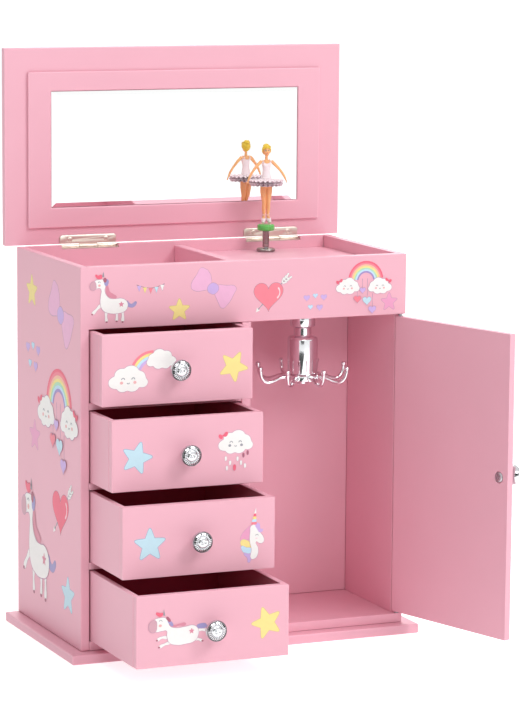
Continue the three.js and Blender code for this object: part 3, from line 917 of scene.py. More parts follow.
def bowTie(name, w):
    # a ribbon bow leaning to the right, loops above left and below right
    picture = Picture(name, w / 35)
    bordered(picture, [(-2, 1), (-8, 15), (-12.5, 10), (-16.6, 1.5), (-14.5, -0.8), (-8, -1.2)][::-1],
             "RosePale", "PaleLine", 0.3)
    bordered(picture,
             [(2, 1), (10, 1.6), (17.5, -0.2), (15.8, -4.5), (10.5, -12.4), (7.2, -14.4), (4.2, -10.5)],
             "RosePale",
             "PaleLine", 0.3)
    bordered(picture, [(-4.3, -0.6), (-1.5, 3.6), (2.2, 3.2), (4.2, 0.2), (1.8, -3.6), (-1.2, -3.9)],
             "Lilac", "PaleLine", 0.25)
    return picture


def heartAndArrow(name, w):
    picture = Picture(name, w / 22)
    for a, b in (((-8.6, -10.3), (-4, -5.5)), ((8, 6.5), (14.6, 12.2))):
        picture.stroke([a, ((a[0] + b[0]) / 2, (a[1] + b[1]) / 2), b], 0.5, "Grey")
    bordered(picture, heartPoints(22.5, 0, 0.6), "Coral" if w < 25 else "Red", "Outline", 0.22)
    picture.stroke([(7.4, 5.6), (8.6, 3.0), (8.3, 0.2), (6.6, -2.2)], 0.7, "Shine")
    for dx in (0, 1.7, 3.4):
        for ends in (((10.6, 8.6), (10.9, 10.6), (12.0, 12.4)), ((10.6, 8.6), (12.6, 8.8), (14.4, 10.0))):
            barb = [(x + dx, y + dx * 0.88) for x, y in ends]
            picture.stroke(barb, 1.25, "Grey")
            picture.stroke(barb, 0.95, "White")
    picture.shape([(-9.8, -11.6), (-6.6, -10.2), (-8.2, -9.4), (-8.9, -7.9)], "White", soft=False)
    return picture


def rainbowAndClouds(name, w):
    # a rainbow between two clouds with bows, and hearts hung under it on threads
    picture = Picture(name, w / 43)
    for x, top, low in ((-0.6, 2, -5.4), (3.4, 2, -11), (-4.6, -7, -12), (7.4, -9, -19)):
        picture.stroke([(x, top), (x, (top + low) / 2), (x, low)], 0.3, "PaleLine")
    rainbow(picture, 2, 0, 14.6, 6.1, ["Red", "Coral", "Peach", "Yellow", "Green", "Sky", "Violet"], 8, 172,
            0.96)
    cloud(picture, -12.2, -3.2, 18.6, bow="Red", flip=1)
    cloud(picture, 13.2, -3.8, 18.6, bow="Red", flip=-1)
    for x, y, ink, size in ((-0.6, -6.4, "Lilac", 4.6), (-4.6, -12.6, "Coral", 5.8),
                            (2.9, -14.0, "Blue", 6.8),
                            (7.1, -20.6, "Lilac", 6.0)):
        bordered(picture, heartPoints(size, x, y), ink, "PaleLine", 0.2)
    return picture


def hoof(picture, x, y, r=0.75):
    picture.oval(x, y, r, r * 0.75, "Maroon", count=8)


def unicornStanding(name, w, tall=1.0):
    # a long-necked foal stepping to the left
    picture = Picture(name, w / 33, tall)
    bordered(picture, [(10.5, -1.2), (14, -3.6), (17.8, -2.0), (16.6, -5.2), (13.2, -5.8), (11, -4.4)],
             "Slate", "PaleLine", 0.2)
    for points in ([(-8, -3), (-11.5, -6.2), (-14.8, -9.6)], [(-4.4, -7), (-4.6, -11.5), (-4.2, -15.4)],
                   [(3.2, -7), (3.4, -11.5), (3.2, -15.2)], [(7.2, -6.4), (7.8, -11), (7.6, -15.8)]):
        picture.stroke(points, 1.9, "PaleLine")
        picture.stroke(points, 1.5, "White")
        hoof(picture, *points[-1])
    body = [(-13.0, 13.4), (-10.4, 14.4), (-5.6, 13.6), (-5.0, 10.4), (-5.6, 6.2), (-2.4, 1.4), (2.4, 0.6),
            (6.6, 0.8),
            (10.4, -1.2), (11.4, -4.6), (9.6, -8.0), (4.0, -9.6), (-2.6, -9.2), (-6.8, -7.2), (-8.8, -2.8),
            (-8.6, 3.0),
            (-8.2, 7.4), (-9.6, 8.6), (-12.6, 8.4), (-13.4, 10.8)]
    bordered(picture, body, "White", "PaleLine", 0.28)
    picture.shape([(-5.6, 12.2), (-4.6, 8.4), (-4.4, 4.6), (-1.4, 1.6), (3.2, 1.6), (0.6, 4.2), (-1.6, 5.6),
                   (-3.0, 9.6), (-4.4, 12.6)],
                  "Mane")
    picture.shape([(-5.6, 14.0), (-3.4, 14.4), (-3.2, 10.8), (-4.8, 9.8)], "Slate")
    picture.shape([(-6.6, 15.0), (-5.0, 15.6), (-4.6, 12.6), (-5.9, 12.4)], "Maroon")
    picture.shape([(-12.4, 18.2), (-11.4, 15.4), (-8.8, 14.8), (-7.4, 16.2), (-8.4, 18.0), (-10.4, 17.4)],
                  "Red")
    picture.shape([(-7.6, 16.4), (-6.5, 20.0), (-6.0, 16.0)], "Grey", soft=False)
    bordered(picture,
             [(-13.4, 13.2), (-15.6, 12.4), (-16.6, 9.8), (-15.4, 7.6), (-12.6, 7.8), (-12.0, 10.4)],
             "Muzzle", "PaleLine", 0.22)
    picture.stroke([(-10.6, 12.4), (-9.6, 13.0), (-8.8, 12.2)], 0.3, "Grey")
    picture.oval(-9.6, 10.4, 0.95, 0.85, "Blush")
    picture.shape([(6.6 + x, -3.4 + y) for x, y in starPoints(2.0, 90)], "Mane", soft=False)
    return picture


def unicornLeaping(name, w):
    picture = Picture(name, w / 46)
    bordered(picture, [(14, 1.6), (17.4, 3.4), (21.8, 2.2), (19.4, -0.6), (15, -0.8)], "Slate", "PaleLine",
             0.2)
    for points in ([(-8, -5), (-12.5, -4.4), (-16.2, -6.2)], [(-6, -8.6), (-10.4, -9.6), (-14.6, -11.4)],
                   [(14, -1.6), (18, -1.2), (21.6, -1.8)], [(12, -7.6), (15.8, -8.0), (18.6, -9.4)]):
        picture.stroke(points, 2.0, "PaleLine")
        picture.stroke(points, 1.6, "White")
        hoof(picture, *points[-1], 0.85)
    body = [(-18.4, 8.6), (-14.4, 10.0), (-9.4, 9.4), (-7.6, 6.4), (-6.6, 3.6), (-2.0, 1.8), (6.0, 2.2),
            (11.8, 2.6), (15.2, -0.4),
            (15.4, -4.6), (12.6, -8.8), (6.0, -10.4), (-1.6, -10.6), (-6.8, -8.6), (-8.6, -3.4),
            (-8.8, 0.2), (-12.4, 0.4), (-17.6, 0.4),
            (-19.0, 4.4)]
    bordered(picture, body, "White", "PaleLine", 0.28)
    picture.shape([(-6.8, 4.6), (-3.4, 2.4), (0.4, 3.2), (5.4, 3.2), (6.0, 4.4), (0.6, 4.6), (-3.2, 4.0),
                   (-5.8, 6.2)], "Mane")
    picture.shape([(-7.8, 8.0), (-5.2, 6.8), (-4.2, 3.2), (-6.4, 4.4)], "Slate")
    picture.shape([(-9.0, 10.4), (-7.0, 9.6), (-6.0, 6.6), (-7.8, 7.2)], "Maroon")
    picture.shape([(-17.0, 14.0), (-15.4, 11.4), (-12.4, 11.2), (-11.6, 13.2), (-14.0, 13.6)], "Red")
    picture.shape([(-11.6, 11.6), (-11.0, 16.2), (-10.0, 11.4)], "Grey", soft=False)
    bordered(picture, [(-17.8, 8.6), (-21.2, 7.4), (-22.6, 3.6), (-20.8, 0.2), (-17.6, 0.2), (-16.4, 3.6)],
             "Muzzle", "PaleLine", 0.22)
    picture.stroke([(-14.6, 7.6), (-13.4, 8.4), (-12.2, 7.4)], 0.32, "Grey")
    picture.oval(-13.8, 4.4, 1.2, 0.95, "Blush")
    picture.shape([(10.2 + x, -1.4 + y) for x, y in starPoints(2.1, 90)], "Mane", soft=False)
    return picture


def unicornHead(name, h):
    # a head and neck in profile with a banded horn and mane, 39 tall
    picture = Picture(name, h / 39)
    mane = [([(-0.4, 6.6), (-4.4, 4.4), (-8.0, 0.2), (-8.2, -3.4), (-3.0, -3.0), (0.2, 0.6)], "Rose"),
            ([(-8.2, -3.2), (-3.4, -3.4), (-0.8, -6.2), (-0.8, -9.4), (-4.6, -9.0), (-7.8, -7.2)],
             "Yellow"),
            ([(-7.8, -7.2), (-4.2, -8.4), (-0.6, -9.2), (-0.4, -13.2), (-3.6, -13.4), (-6.6, -11.4)],
             "Sky"),
            ([(-5.8, -12.2), (-3.0, -13.0), (-0.2, -13.2), (-0.6, -16.6), (-2.4, -19.2), (-3.4, -16.0)],
             "Lilac")]
    for points, ink in mane:
        bordered(picture, points, ink, "PaleLine", 0.2)
    head = [(-0.4, 6.8), (3.4, 6.6), (6.0, 1.8), (8.8, -2.4), (8.4, -5.6), (5.2, -5.8), (3.2, -4.6),
            (4.6, -9.2), (4.2, -14.4),
            (1.8, -16.8), (-0.6, -16.4), (-0.2, -10.0), (-1.6, -4.2), (-1.4, 1.8)]
    bordered(picture, head, "White", "PaleLine", 0.25)
    picture.shape([(2.6, 8.2), (5.6, 7.8), (6.4, 4.2), (8.4, 3.4), (6.0, 1.6), (4.0, 3.8)], "Lilac")
    picture.stroke([(2.6, -0.4), (3.8, 0.4), (4.8, -0.4)], 0.3, "Grey")
    picture.oval(3.4, -2.4, 0.9, 0.5, "Shine")
    for k, ink in enumerate(("Coral", "Sky", "Yellow", "Red")):
        y0, y1 = 7.4 + k * 1.9, 9.6 + k * 1.9
        w0, w1 = 2.1 - k * 0.34, 2.1 - (k + 1) * 0.34
        picture.shape([(1.4 - w0 + k * 0.2, y0), (1.4 + w0 + k * 0.2, y0), (1.6 + w1 + k * 0.2, y1),
                       (1.6 - w1 + k * 0.2, y1)], ink, soft=False)
    picture.shape([(1.5, 15.2), (3.1, 15.2), (2.9, 19.4)], "White", soft=False)
    return picture


def rainCloud(name, w):
    picture = Picture(name, w / 26)
    cloud(picture, 0, 4, 26, blush="Grey", bow="Red", flip=1)
    for x, y, ink in ((-7.4, -7.4, "White"), (-4.2, -10.6, "White"), (-6.6, -14.2, "White"),
                      (1.4, -8.0, "White"), (4.0, -11.0, "White"),
                      (7.0, -13.2, "White"), (5.8, -5.8, "Maroon"), (9.0, -4.2, "Maroon"),
                      (-0.9, -14.2, "Red")):
        size = 1.0 if ink != "Red" else 1.35
        bordered(picture,
                 [(x, y + 1.9 * size), (x + 0.75 * size, y - 0.4 * size), (x, y - 1.4 * size),
                  (x - 0.75 * size, y - 0.4 * size)],
                 ink, "PaleLine", 0.14)
    return picture


def cloudsAndArc(name, w):
    # a smiling cloud below and a plain one above it, joined by a quarter of a rainbow
    picture = Picture(name, w / 50)
    rainbow(picture, 7, -7.4, 17.3, 9.6, ["Coral", "Yellow", "Sky", "Lilac"], 88, 168)
    cloud(picture, -11.2, -9.4, 29, blush="Blush")
    cloud(picture, 13.4, 3.4, 22, face=False, flip=-1)
    return picture


def bunting(name, w):
    # small flags on a thread
    picture = Picture(name, w / 22)
    line = [(-11 + 22 * k / 8, 1.5 - 2.6 * math.sin(math.pi * k / 8)) for k in range(9)]
    picture.stroke(line, 0.35, "Outline")
    for k, ink in enumerate(("Lilac", "Yellow", "Coral", "Blue", "White")):
        x = -9 + 4.5 * k
        y = 1.5 - 2.6 * math.sin(math.pi * (x + 11) / 22)
        bordered(picture, [(x - 1.6, y), (x + 1.6, y), (x, y - 4.4)], ink, "Outline", 0.14, soft=False)
    return picture


def heartRow(name, w):
    picture = Picture(name, w / 20)
    for x, y, size in ((-7, 3, 5), (0, 4.4, 4), (7, 3, 5), (-4, -4, 4), (3.6, -4.6, 5)):
        bordered(picture, heartPoints(size, x, y), "Sky" if size == 4 else "Lilac", "PaleLine", 0.15)
    return picture


def onFront(x, y, z):
    return Matrix.Translation((x * mm, y, z * mm)) @ toFront


def onLeft(y, z):
    # x of the picture runs from the back of the case to its front
    axes = Matrix(((0, -1, 0), (0, 0, 1), (-1, 0, 0))).transposed().to_4x4()
    return Matrix.Translation((caseLeft, y * mm, z * mm)) @ axes


def onRight(y, z):
    axes = Matrix(((0, 1, 0), (0, 0, 1), (1, 0, 0))).transposed().to_4x4()
    return Matrix.Translation((caseRight, y * mm, z * mm)) @ axes


# the pictures on the fascia, placed from the middle of the case and the table it stands on
for build, x, z in ((unicornStanding("fascia_unicorn", 33), -101.6, 255.4),
                    (bunting("fascia_bunting", 21), -73, 263.6),
                    (star("fascia_star_yellow", 8.0, 90, "Yellow", "Gold"), -51.4, 246.0),
                    (bowTie("fascia_bow", 35), -25.9, 260.2),
                    (heartAndArrow("fascia_heart", 22), 16.6, 253.2),
                    (heartRow("fascia_hearts", 19), 53, 247.4),
                    (rainbowAndClouds("fascia_rainbow", 43), 90.6, 260.4),
                    (star("fascia_star_pink", 6.6, 90, "Rose", "PaleLine"), 111.4, 244.5)):
    build.done(onFront(x, caseFront, z), "case")

# the drawers' pictures, each placed from its front's lower left corner
drawerPictures = {1: [(lambda: cloudsAndArc("drawer_1_clouds", 50), 30.6, 28.2),
                      (lambda: star("drawer_1_star", 11.0, 62, "Yellow", "Gold"), 98.2, 23.6)],
                  2: [(lambda: star("drawer_2_star", 11.4, 2, "Blue", "DeepBlue"), 18.4, 23.3),
                      (lambda: rainCloud("drawer_2_cloud", 26), 92.0, 26.0)],
                  3: [(lambda: star("drawer_3_star", 11.7, 90, "Blue", "DeepBlue"), 20.0, 23.0),
                      (lambda: unicornHead("drawer_3_unicorn", 39), 95.8, 24.3)],
                  4: [(lambda: unicornLeaping("drawer_4_unicorn", 44), 30.6, 25.0),
                      (lambda: star("drawer_4_star", 11.4, 36, "Yellow", "Gold"), 96.3, 24.6)]}
for number, pictures in drawerPictures.items():
    low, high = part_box(f"drawer_{number}_front")
    for build, x, z in pictures:
        build().done(onFront(low.x / mm + x, low.y, low.z / mm + z), f"drawer_{number}")


def sidePictures(side, place):
    for build, y, z in ((star(side + "_star_yellow", 11.8, 90, "Yellow", "Gold"), 34.3, 250.5),
                        (bowTie(side + "_bow", 54), -27.2, 240.6),
                        (heartRow(side + "_hearts", 32), 32, 204),
                        (rainbowAndClouds(side + "_rainbow", 83), -19.6, 173.5),
                        (star(side + "_star_pink", 11.6, 90, "Rose", "PaleLine"), 28.8, 145.6),
                        (unicornStanding(side + "_unicorn", 70, 1.12), 22.5, 66),
                        (heartAndArrow(side + "_heart", 33), -26.2, 99.5),
                        (star(side + "_star_blue", 13.6, 90, "Blue", "DeepBlue"), -41.4, 41.6)):
        build.done(place(y, z), "case")


sidePictures("left", onLeft)
sidePictures("right", onRight)


# the outsides of the door and the lid carry larger pictures
doorThick = 5 * mm


def onOpenDoor(x, z):
    # x runs from the middle of the door's outer face, as seen with the door shut
    middle = midOf("door_panel")
    return (Matrix.Translation(middle + out * (doorThick / 2) + (doorTurn @ Vector((1, 0,
            0))) * x * mm + Vector((0, 0, z * mm)))
            @ doorFrame)


for build, x, z in ((unicornHead("door_unicorn", 96), 4, 40),
                    (star("door_star_yellow", 11, 80, "Yellow", "Gold"), -36, 74),
                    (star("door_star_blue", 9, 100, "Blue", "DeepBlue"), 38, -30),
                    (rainbowAndClouds("door_rainbow", 70), 0, -58)):
    build.done(onOpenDoor(x, z), "door")
lidLow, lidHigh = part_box("lid_board")
onLid = Matrix(((-1, 0, 0), (0, 0, 1), (0, 1, 0))).transposed().to_4x4()
for build, x, z in ((rainbowAndClouds("lid_rainbow", 96), 0, 8), (bowTie("lid_bow", 52), -82, 20),
                    (heartAndArrow("lid_heart", 34), 82, 16),
                    (star("lid_star_yellow", 10, 90, "Yellow", "Gold"), -58, -44),
                    (star("lid_star_blue", 10, 90, "Blue", "DeepBlue"), 58, -44)):
    build.done(Matrix.Translation((-x * mm, lidHigh.y, (lidLow.z + lidHigh.z) / 2 + z * mm)) @ onLid, "lid")
print("pictures printed")


# the dancer and her stand
dancerLook = {"scale": 0.972, "turn": -10, "skin": (0.93, 0.50, 0.22), "bodice": (0.97, 0.84, 0.87),
              "skirt": (0.98, 0.80, 0.85), "shoes": (0.95, 0.86, 0.86), "hair": (0.95, 0.62, 0.05),
              "waves": 22}
skin = plasticRecipe("dollSkin", dancerLook["skin"], 0.42, 0.03, scatter=0.15)
satin = plasticRecipe("dollBodice", dancerLook["bodice"], 0.34, 0.05, coat=0.2)
shoeSatin = plasticRecipe("dollShoes", dancerLook["shoes"], 0.35, 0.05, coat=0.2)
eyeWhite = plasticRecipe("dollEyeWhite", (0.90, 0.88, 0.86), 0.25)
eyeDark = plasticRecipe("dollEyes", (0.05, 0.07, 0.12), 0.2)
lipRose = plasticRecipe("dollLips", (0.72, 0.16, 0.18), 0.3)


def hairRecipe(name, colour):
    r = Recipe(name)
    strands = r.noise(1500, 2, r.stretched(1, 1, 0.06))
    locks = r.noise(420, 3, r.stretched(1, 1, 0.2))
    tint = r.blend(strands, shade(colour, 0.72), shade(colour, 1.25))
    tint = r.blend(locks * 0.4, tint, shade(colour, 0.6))
    return r.finish(colour=tint, rough=0.38 + 0.12 * strands, height=strands + locks, depth=0.00005)


def tulleRecipe(name, colour):
    # fine net: small holes between threads, gathered more densely in streaks
    r = Recipe(name)
    r.shader.inputs["Sheen Weight"].default_value = 0.5
    cell = r.node("TexVoronoi", {"feature": "DISTANCE_TO_EDGE"}, {"Vector": r.place, "Scale": 3200.0},
                  out="Distance")
    folds = r.noise(380, 3)
    tint = r.blend(folds, shade(colour, 0.9), shade(colour, 1.12))
    return r.finish(colour=tint, rough=0.78 - 0.1 * folds, height=cell, depth=0.00002,
                    alpha=0.96 - 0.3 * (cell > 0.16))


hairGold = hairRecipe("dollHair", dancerLook["hair"])
tulle = tulleRecipe("dollTulle", dancerLook["skirt"])
standAxis = midOf("dancer_base")
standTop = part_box("dancer_base")[1].z
onStand = (Matrix.Translation((standAxis.x, standAxis.y, standTop + 0.3 * mm))
           @ Matrix.Rotation(math.radians(dancerLook["turn"]), 4, "Z") @ Matrix.Scale(dancerLook["scale"],
                                                                                      4))

# her body is modelled facing forwards with her toes at the origin, in mm, then grown into one skin
torsoWide = Matrix.Diagonal((1.16, 0.8, 1, 1))
limbs = [tube("torso", [(0, 0, 30), (0, 0, 35.6), (0, 0, 41), (0, -0.2, 45.4), (0, 0, 48.4)],
              [3.5, 3.0, 2.25, 2.8, 2.3], 8, 6, torsoWide),
         bead("hips", (0, 0, 31), (3.9, 2.8, 3.6)), bead("shoulders", (0, 0.1, 47.8), (4.4, 1.6, 1.4)),
         tube("neck", [(0, 0.1, 47.4), (0, 0, 50.6), (0, -0.1, 54)], [1.6, 1.05, 1.25], 6),
         bead("head", (0, -0.1, 56.2), (3.1, 3.2, 3.6)), bead("chin", (0, -1, 53.7), (1.9, 1.85, 1.6)),
         bead("nose", (0, -3.25, 55.5), (0.36, 0.5, 0.55), 8, 12)]
for s in (-1, 1):
    limbs.append(tube("leg",
                      [(1.9 * s, 0, 30.5), (2.25 * s, 0.1, 25), (1.95 * s, -0.1, 19.4), (1.7 * s, -0.2, 16),
                       (1.75 * s, 0.45, 11.8),
                              (1.55 * s, 0.2, 7.6), (1.75 * s, -0.1, 5.2), (2.2 * s, -0.9, 2.9),
                       (2.8 * s, -1.7, 1.1)],
                      [2.6, 2.45, 1.9, 1.55, 1.6, 1.25, 1.2, 1.45, 0.95], 7, 5))
    rise = 0.35 if s > 0 else 0
    limbs.append(tube("arm",
                      [(3.8 * s, 0, 48.2), (7 * s, -0.5, 45.2), (10.8 * s, -1.1, 40.6 + rise),
                       (13.4 * s, -1.7, 36.4 + 2 * rise),
                              (14.9 * s, -2, 33 + 2.4 * rise)], [1.35, 1.28, 1.02, 0.98, 0.66], 6, 5))
    limbs.append(bead("bust", (1.5 * s, -1.35, 45.2), (1.45, 1.15, 1.35), 10, 14))
    limbs.append(bead("ear", (3.0 * s, 0.1, 55.7), (0.35, 0.6, 0.85), 8, 12))
    palm = Matrix.Translation((15.2 * s * mm, -2.05 * mm,
                               (32.2 + 2.4 * rise) * mm)) @ Matrix.Rotation(-0.35 * s, 4, "Y")
    limbs.append(bead("palm", (0, 0, 0), (0.5, 0.72, 1.1), 8, 12, palm))
    for k in (-1, 0, 1):
        limbs.append(tube("finger", [(0, 0.42 * k, -0.6), (0, 0.5 * k, -1.3), (0.12 * s, 0.52 * k, -2.0)],
                          [0.28, 0.25, 0.2], 3, 4, palm))
    limbs.append(tube("thumb", [(0, -0.5, 0), (-0.15 * s, -1.0, -0.5), (-0.2 * s, -1.05, -1.1)],
                      [0.28, 0.24, 0.18], 3, 4, palm))
figure = join("dancer_skin", limbs)
useModifier(figure, "REMESH", mode="VOXEL", voxel_size=0.24 * mm)
useModifier(figure, "SMOOTH", factor=0.5, iterations=3)
paint(figure, skin)
smooth(figure, 80)


def garment(name, keep, lift, finish):
    # a second skin over the chosen part of the body, with a turned-in rim
    piece = figure.copy()
    piece.data = figure.data.copy()
    bpy.context.scene.collection.objects.link(piece)
    chooseFaces(piece, lambda c, n: not keep(c / mm))
    bpy.ops.mesh.delete(type="FACE")
    leaveEdit()
    editAll(piece)
    bpy.ops.transform.shrink_fatten(value=lift * mm)
    leaveEdit()
    useModifier(piece, "SOLIDIFY", thickness=0.25 * mm, offset=1.0)
    paint(piece, finish)
    pick(piece)
    newest(name)
    return smooth(piece, 60)


bodice = garment("bodice", lambda c: 28.6 < c.z < 46.3 + 0.12 * c.x * c.x - 0.1 * c.y and abs(c.x) < 3.8,
                 0.06, satin)
shoes = garment("shoes", lambda c: c.z < 4.9 + 0.45 * c.y + (0.3 if c.y > 0 else 0), 0.05, shoeSatin)
dressed = [figure, bodice, shoes]
for s in (-1, 1):
    strap = tube("strap",
                 [(2.3 * s, -2.25, 46.2), (2.55 * s, -1.4, 48.4), (2.6 * s, 0.1, 49.3),
                  (2.4 * s, 1.4, 48.4), (2.1 * s, 2.1, 46.4)],
                 [0.3] * 5, 3, 6)
    dressed.append(paint(strap, satin))
    for height, lean in ((6.2, 0.35), (7.4, -0.35)):
        clearPick()
        bpy.ops.mesh.primitive_torus_add(major_segments=28, minor_segments=8, major_radius=1.32 * mm,
                                         minor_radius=0.14 * mm)
        ribbon = settle(newest("ribbon"),
                        Matrix.Translation((1.58 * s * mm, 0.08 * mm, height * mm)) @ Matrix.Rotation(lean,
                                4, "Y"))
        dressed.append(smooth(paint(ribbon, shoeSatin)))
    dressed.append(paint(bead("eyeWhite", (1.15 * s, -2.82, 56.3), (0.66, 0.24, 0.44), 10, 16), eyeWhite))
    dressed.append(paint(bead("iris", (1.12 * s, -2.98, 56.28), (0.34, 0.14, 0.38), 10, 16), eyeDark))
    dressed.append(paint(tube("lash",
                              [(0.5 * s, -3.1, 56.55), (1.15 * s, -3.08, 56.88), (1.85 * s, -2.7, 56.55)],
                              [0.09, 0.15, 0.09], 3, 5), eyeDark))
    dressed.append(paint(tube("brow",
                              [(0.6 * s, -3.08, 57.5), (1.2 * s, -2.96, 57.78), (1.9 * s, -2.55, 57.45)],
                              [0.08, 0.12, 0.07], 3, 5), hairGold))
dressed.append(paint(bead("upperLip", (0, -2.86, 54.34), (0.62, 0.2, 0.16), 8, 16), lipRose))
dressed.append(paint(bead("lowerLip", (0, -2.84, 54.05), (0.5, 0.2, 0.18), 8, 16), lipRose))

# hair: a cap cut off along the hairline, and a bun of one coiled strand
cap = bead("hairCap", (0, 0.15, 56.5), (3.6, 3.7, 4.1), 28, 40)
editAll(cap)
bpy.ops.mesh.bisect(plane_co=(0, -3.1 * mm, 58.3 * mm), plane_no=(0, 0.76, 0.65), clear_inner=True,
                    use_fill=False)
leaveEdit()
useModifier(cap, "SOLIDIFY", thickness=0.4 * mm, offset=-1.0)
dressed.append(smooth(paint(cap, hairGold), 60))
turnsOfBun = [(1.95, 59.4), (1.8, 59.95), (1.3, 60.5), (0.5, 60.95)]
coil = []
for k in range(28):
    share = k / 27 * (len(turnsOfBun) - 1)
    i = min(int(share), len(turnsOfBun) - 2)
    (ra, za), (rb, zb) = turnsOfBun[i], turnsOfBun[i + 1]
    r, z, a = ra + (rb - ra) * (share - i), za + (zb - za) * (share - i), 2 * math.pi * share * 0.95
    coil.append((r * math.cos(a), 1.1 + r * math.sin(a), z))
dressed.append(paint(tube("bunCoil", coil, [0.75] * 28, 5, 3), hairGold))
dressed.append(paint(bead("bunCore", (0, 1.1, 59.6), (1.75, 1.75, 1.35)), hairGold))
for s in (-1, 1):
    for k in range(3):
        dressed.append(paint(tube("lock",
                                  [((0.5 + 1.05 * k) * s, -3.1 + 0.3 * k * k, 58.9 - 0.55 * k),
                                   ((0.7 + 1.0 * k) * s, -1.1, 60.4 - 0.45 * k),
                                           ((0.4 + 0.5 * k) * s, 0.7, 60.2 - 0.2 * k)], [0.22, 0.36, 0.2],
                                  4, 6), hairGold))
dancer = join("dancer_dressed", dressed)
settle(dancer, onStand)
seat(dancer, "dancer_figure")
print("dancer dressed")


def ruffle(name, rings, waves, firstWave):
    # a gathered skirt layer: rings of (radius, height, wave) in mm, pulled up and down by turns
    clearPick()
    steps = waves * 4
    radius, height, wave = rings[0]
    bpy.ops.mesh.primitive_circle_add(vertices=steps, radius=radius * mm, location=(0, 0, height * mm))
    piece = newest(name)
    bpy.ops.object.mode_set(mode="EDIT")
    bpy.ops.mesh.select_all(action="SELECT")
    for (ra, ha, _), (rb, hb, _) in zip(rings, rings[1:]):
        bpy.ops.mesh.extrude_region_move(TRANSFORM_OT_translate={"value": (0, 0, (hb - ha) * mm)})
        bpy.ops.transform.resize(value=(rb / ra, rb / ra, 1), center_override=(0, 0, hb * mm))
    leaveEdit()
    settle(piece)
    mesh = piece.data
    home = [v.co.copy() for v in mesh.vertices]
    for radius, height, wave in rings:
        for phase, way in ((0, 1), (2, -1)):
            chosen = []
            for co in home:
                turn = round(math.atan2(co.y, co.x) / (2 * math.pi) * steps + firstWave) % 4
                chosen.append(abs(math.hypot(co.x, co.y) - radius * mm) < 1e-5
                              and abs(co.z - height * mm) < 1e-5 and turn == phase)
            if wave and any(chosen):
                pick(piece)
                bpy.context.tool_settings.mesh_select_mode = (True, False, False)
                mesh.polygons.foreach_set("select", [False] * len(mesh.polygons))
                mesh.edges.foreach_set("select", [False] * len(mesh.edges))
                mesh.vertices.foreach_set("select", chosen)
                bpy.ops.object.mode_set(mode="EDIT")
                bpy.ops.transform.translate(value=(0, 0, way * wave * mm))
                leaveEdit()
    useModifier(piece, "SUBSURF", levels=2)
    useModifier(piece, "SOLIDIFY", thickness=0.1 * mm, offset=0.0)
    return smooth(paint(piece, tulle), 80)


waves = dancerLook["waves"]
layers = [ruffle("frillTop", [(3.3, 35.6, 0), (4.4, 35.4, 0.15), (6.6, 34.6, 0.45), (7.6, 34.2, 0.6)],
                 waves - 6, 1),
          ruffle("frillUpper",
                 [(3.5, 34.9, 0), (5.2, 34.3, 0.15), (8, 33.2, 0.45), (11, 32.9, 0.8), (13.3, 33.4, 1.0)],
                 waves, 0),
          ruffle("frillMiddle",
                 [(3.6, 34.2, 0), (5.2, 33.2, 0.2), (8, 31.9, 0.5), (11, 31.1, 0.8), (13, 31.2, 0.9)],
                 waves + 2, 2),
          ruffle("frillLow",
                 [(3.6, 33.4, 0), (5.2, 32.2, 0.2), (8, 30.7, 0.5), (10.6, 29.9, 0.7), (12.2, 29.8, 0.8)],
                 waves - 3, 3),
          paint(turned("sash", [(3.2, 34.6), (3.6, 34.9), (3.65, 35.6), (3.2, 36)], 48), satin)]
skirt = join("dancer_skirt", layers)
settle(skirt, onStand)
seat(skirt, "dancer_tutu")
print("skirt gathered")

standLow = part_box("dancer_base")[0].z / mm
standHigh = standTop / mm
atPost = Matrix.Translation((standAxis.x, standAxis.y, 0))
disc = turned("dancer_disc",
              [(5.4, standLow), (5.95, standLow + 0.2), (6.35, standLow + 0.7), (6.4, standLow + 1.1),
                              (6.4, standHigh - 1.3), (6.25, standHigh - 0.7), (5.8, standHigh - 0.2),
               (5.2, standHigh),
                              (4.2, standHigh), (4.0, standHigh - 0.15), (3.8, standHigh), (0, standHigh)],
              96, atPost)
seat(paint(disc, greenPlastic), "dancer_base")
footLow, footHigh = (v.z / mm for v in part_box("dancer_foot"))
foot = turned("dancer_magnet",
              [(2.2, footLow), (2.45, footLow + 0.2), (2.45, footLow + 2.6), (2.3, footLow + 2.75),
                                (2.3, footLow + 3), (2.45, footLow + 3.15), (2.45, footHigh - 0.25),
               (2.2, footHigh)], 72, atPost)
seat(paint(foot, postSteel), "dancer_foot")
for node, finish, soften in (("deck_bushing", postSteel, 0.3), ("dancer_post", steel, 0.15),
                             ("door_pin_top", steel, 0.2),
                             ("door_pin_bottom", steel, 0.2), ("movement_bedplate", brass, 0.2),
                             ("movement_comb", steel, 0.08),
                             ("spring_barrel", brass, 0.15), ("pinned_cylinder", brass, 0.1),
                             ("governor", steel, 0.1),
                             ("winding_key", nickel, 0.35)):
    seat(softMetal(node, finish, soften), node)
print("movement and stand finished")


# floor, light and camera
def light(name, kind, place, aim, power, size, colour=(1, 1, 1)):
    lamp = bpy.data.lights.new(name, kind)
    lamp.energy = power
    lamp.color = colour
    lamp.shape = "RECTANGLE"
    lamp.size, lamp.size_y = size
    made = bpy.data.objects.new(name, lamp)
    bpy.context.scene.collection.objects.link(made)
    made.location = place
    made.rotation_euler = (Vector(aim) - Vector(place)).to_track_quat("-Z", "Y").to_euler()
    return made


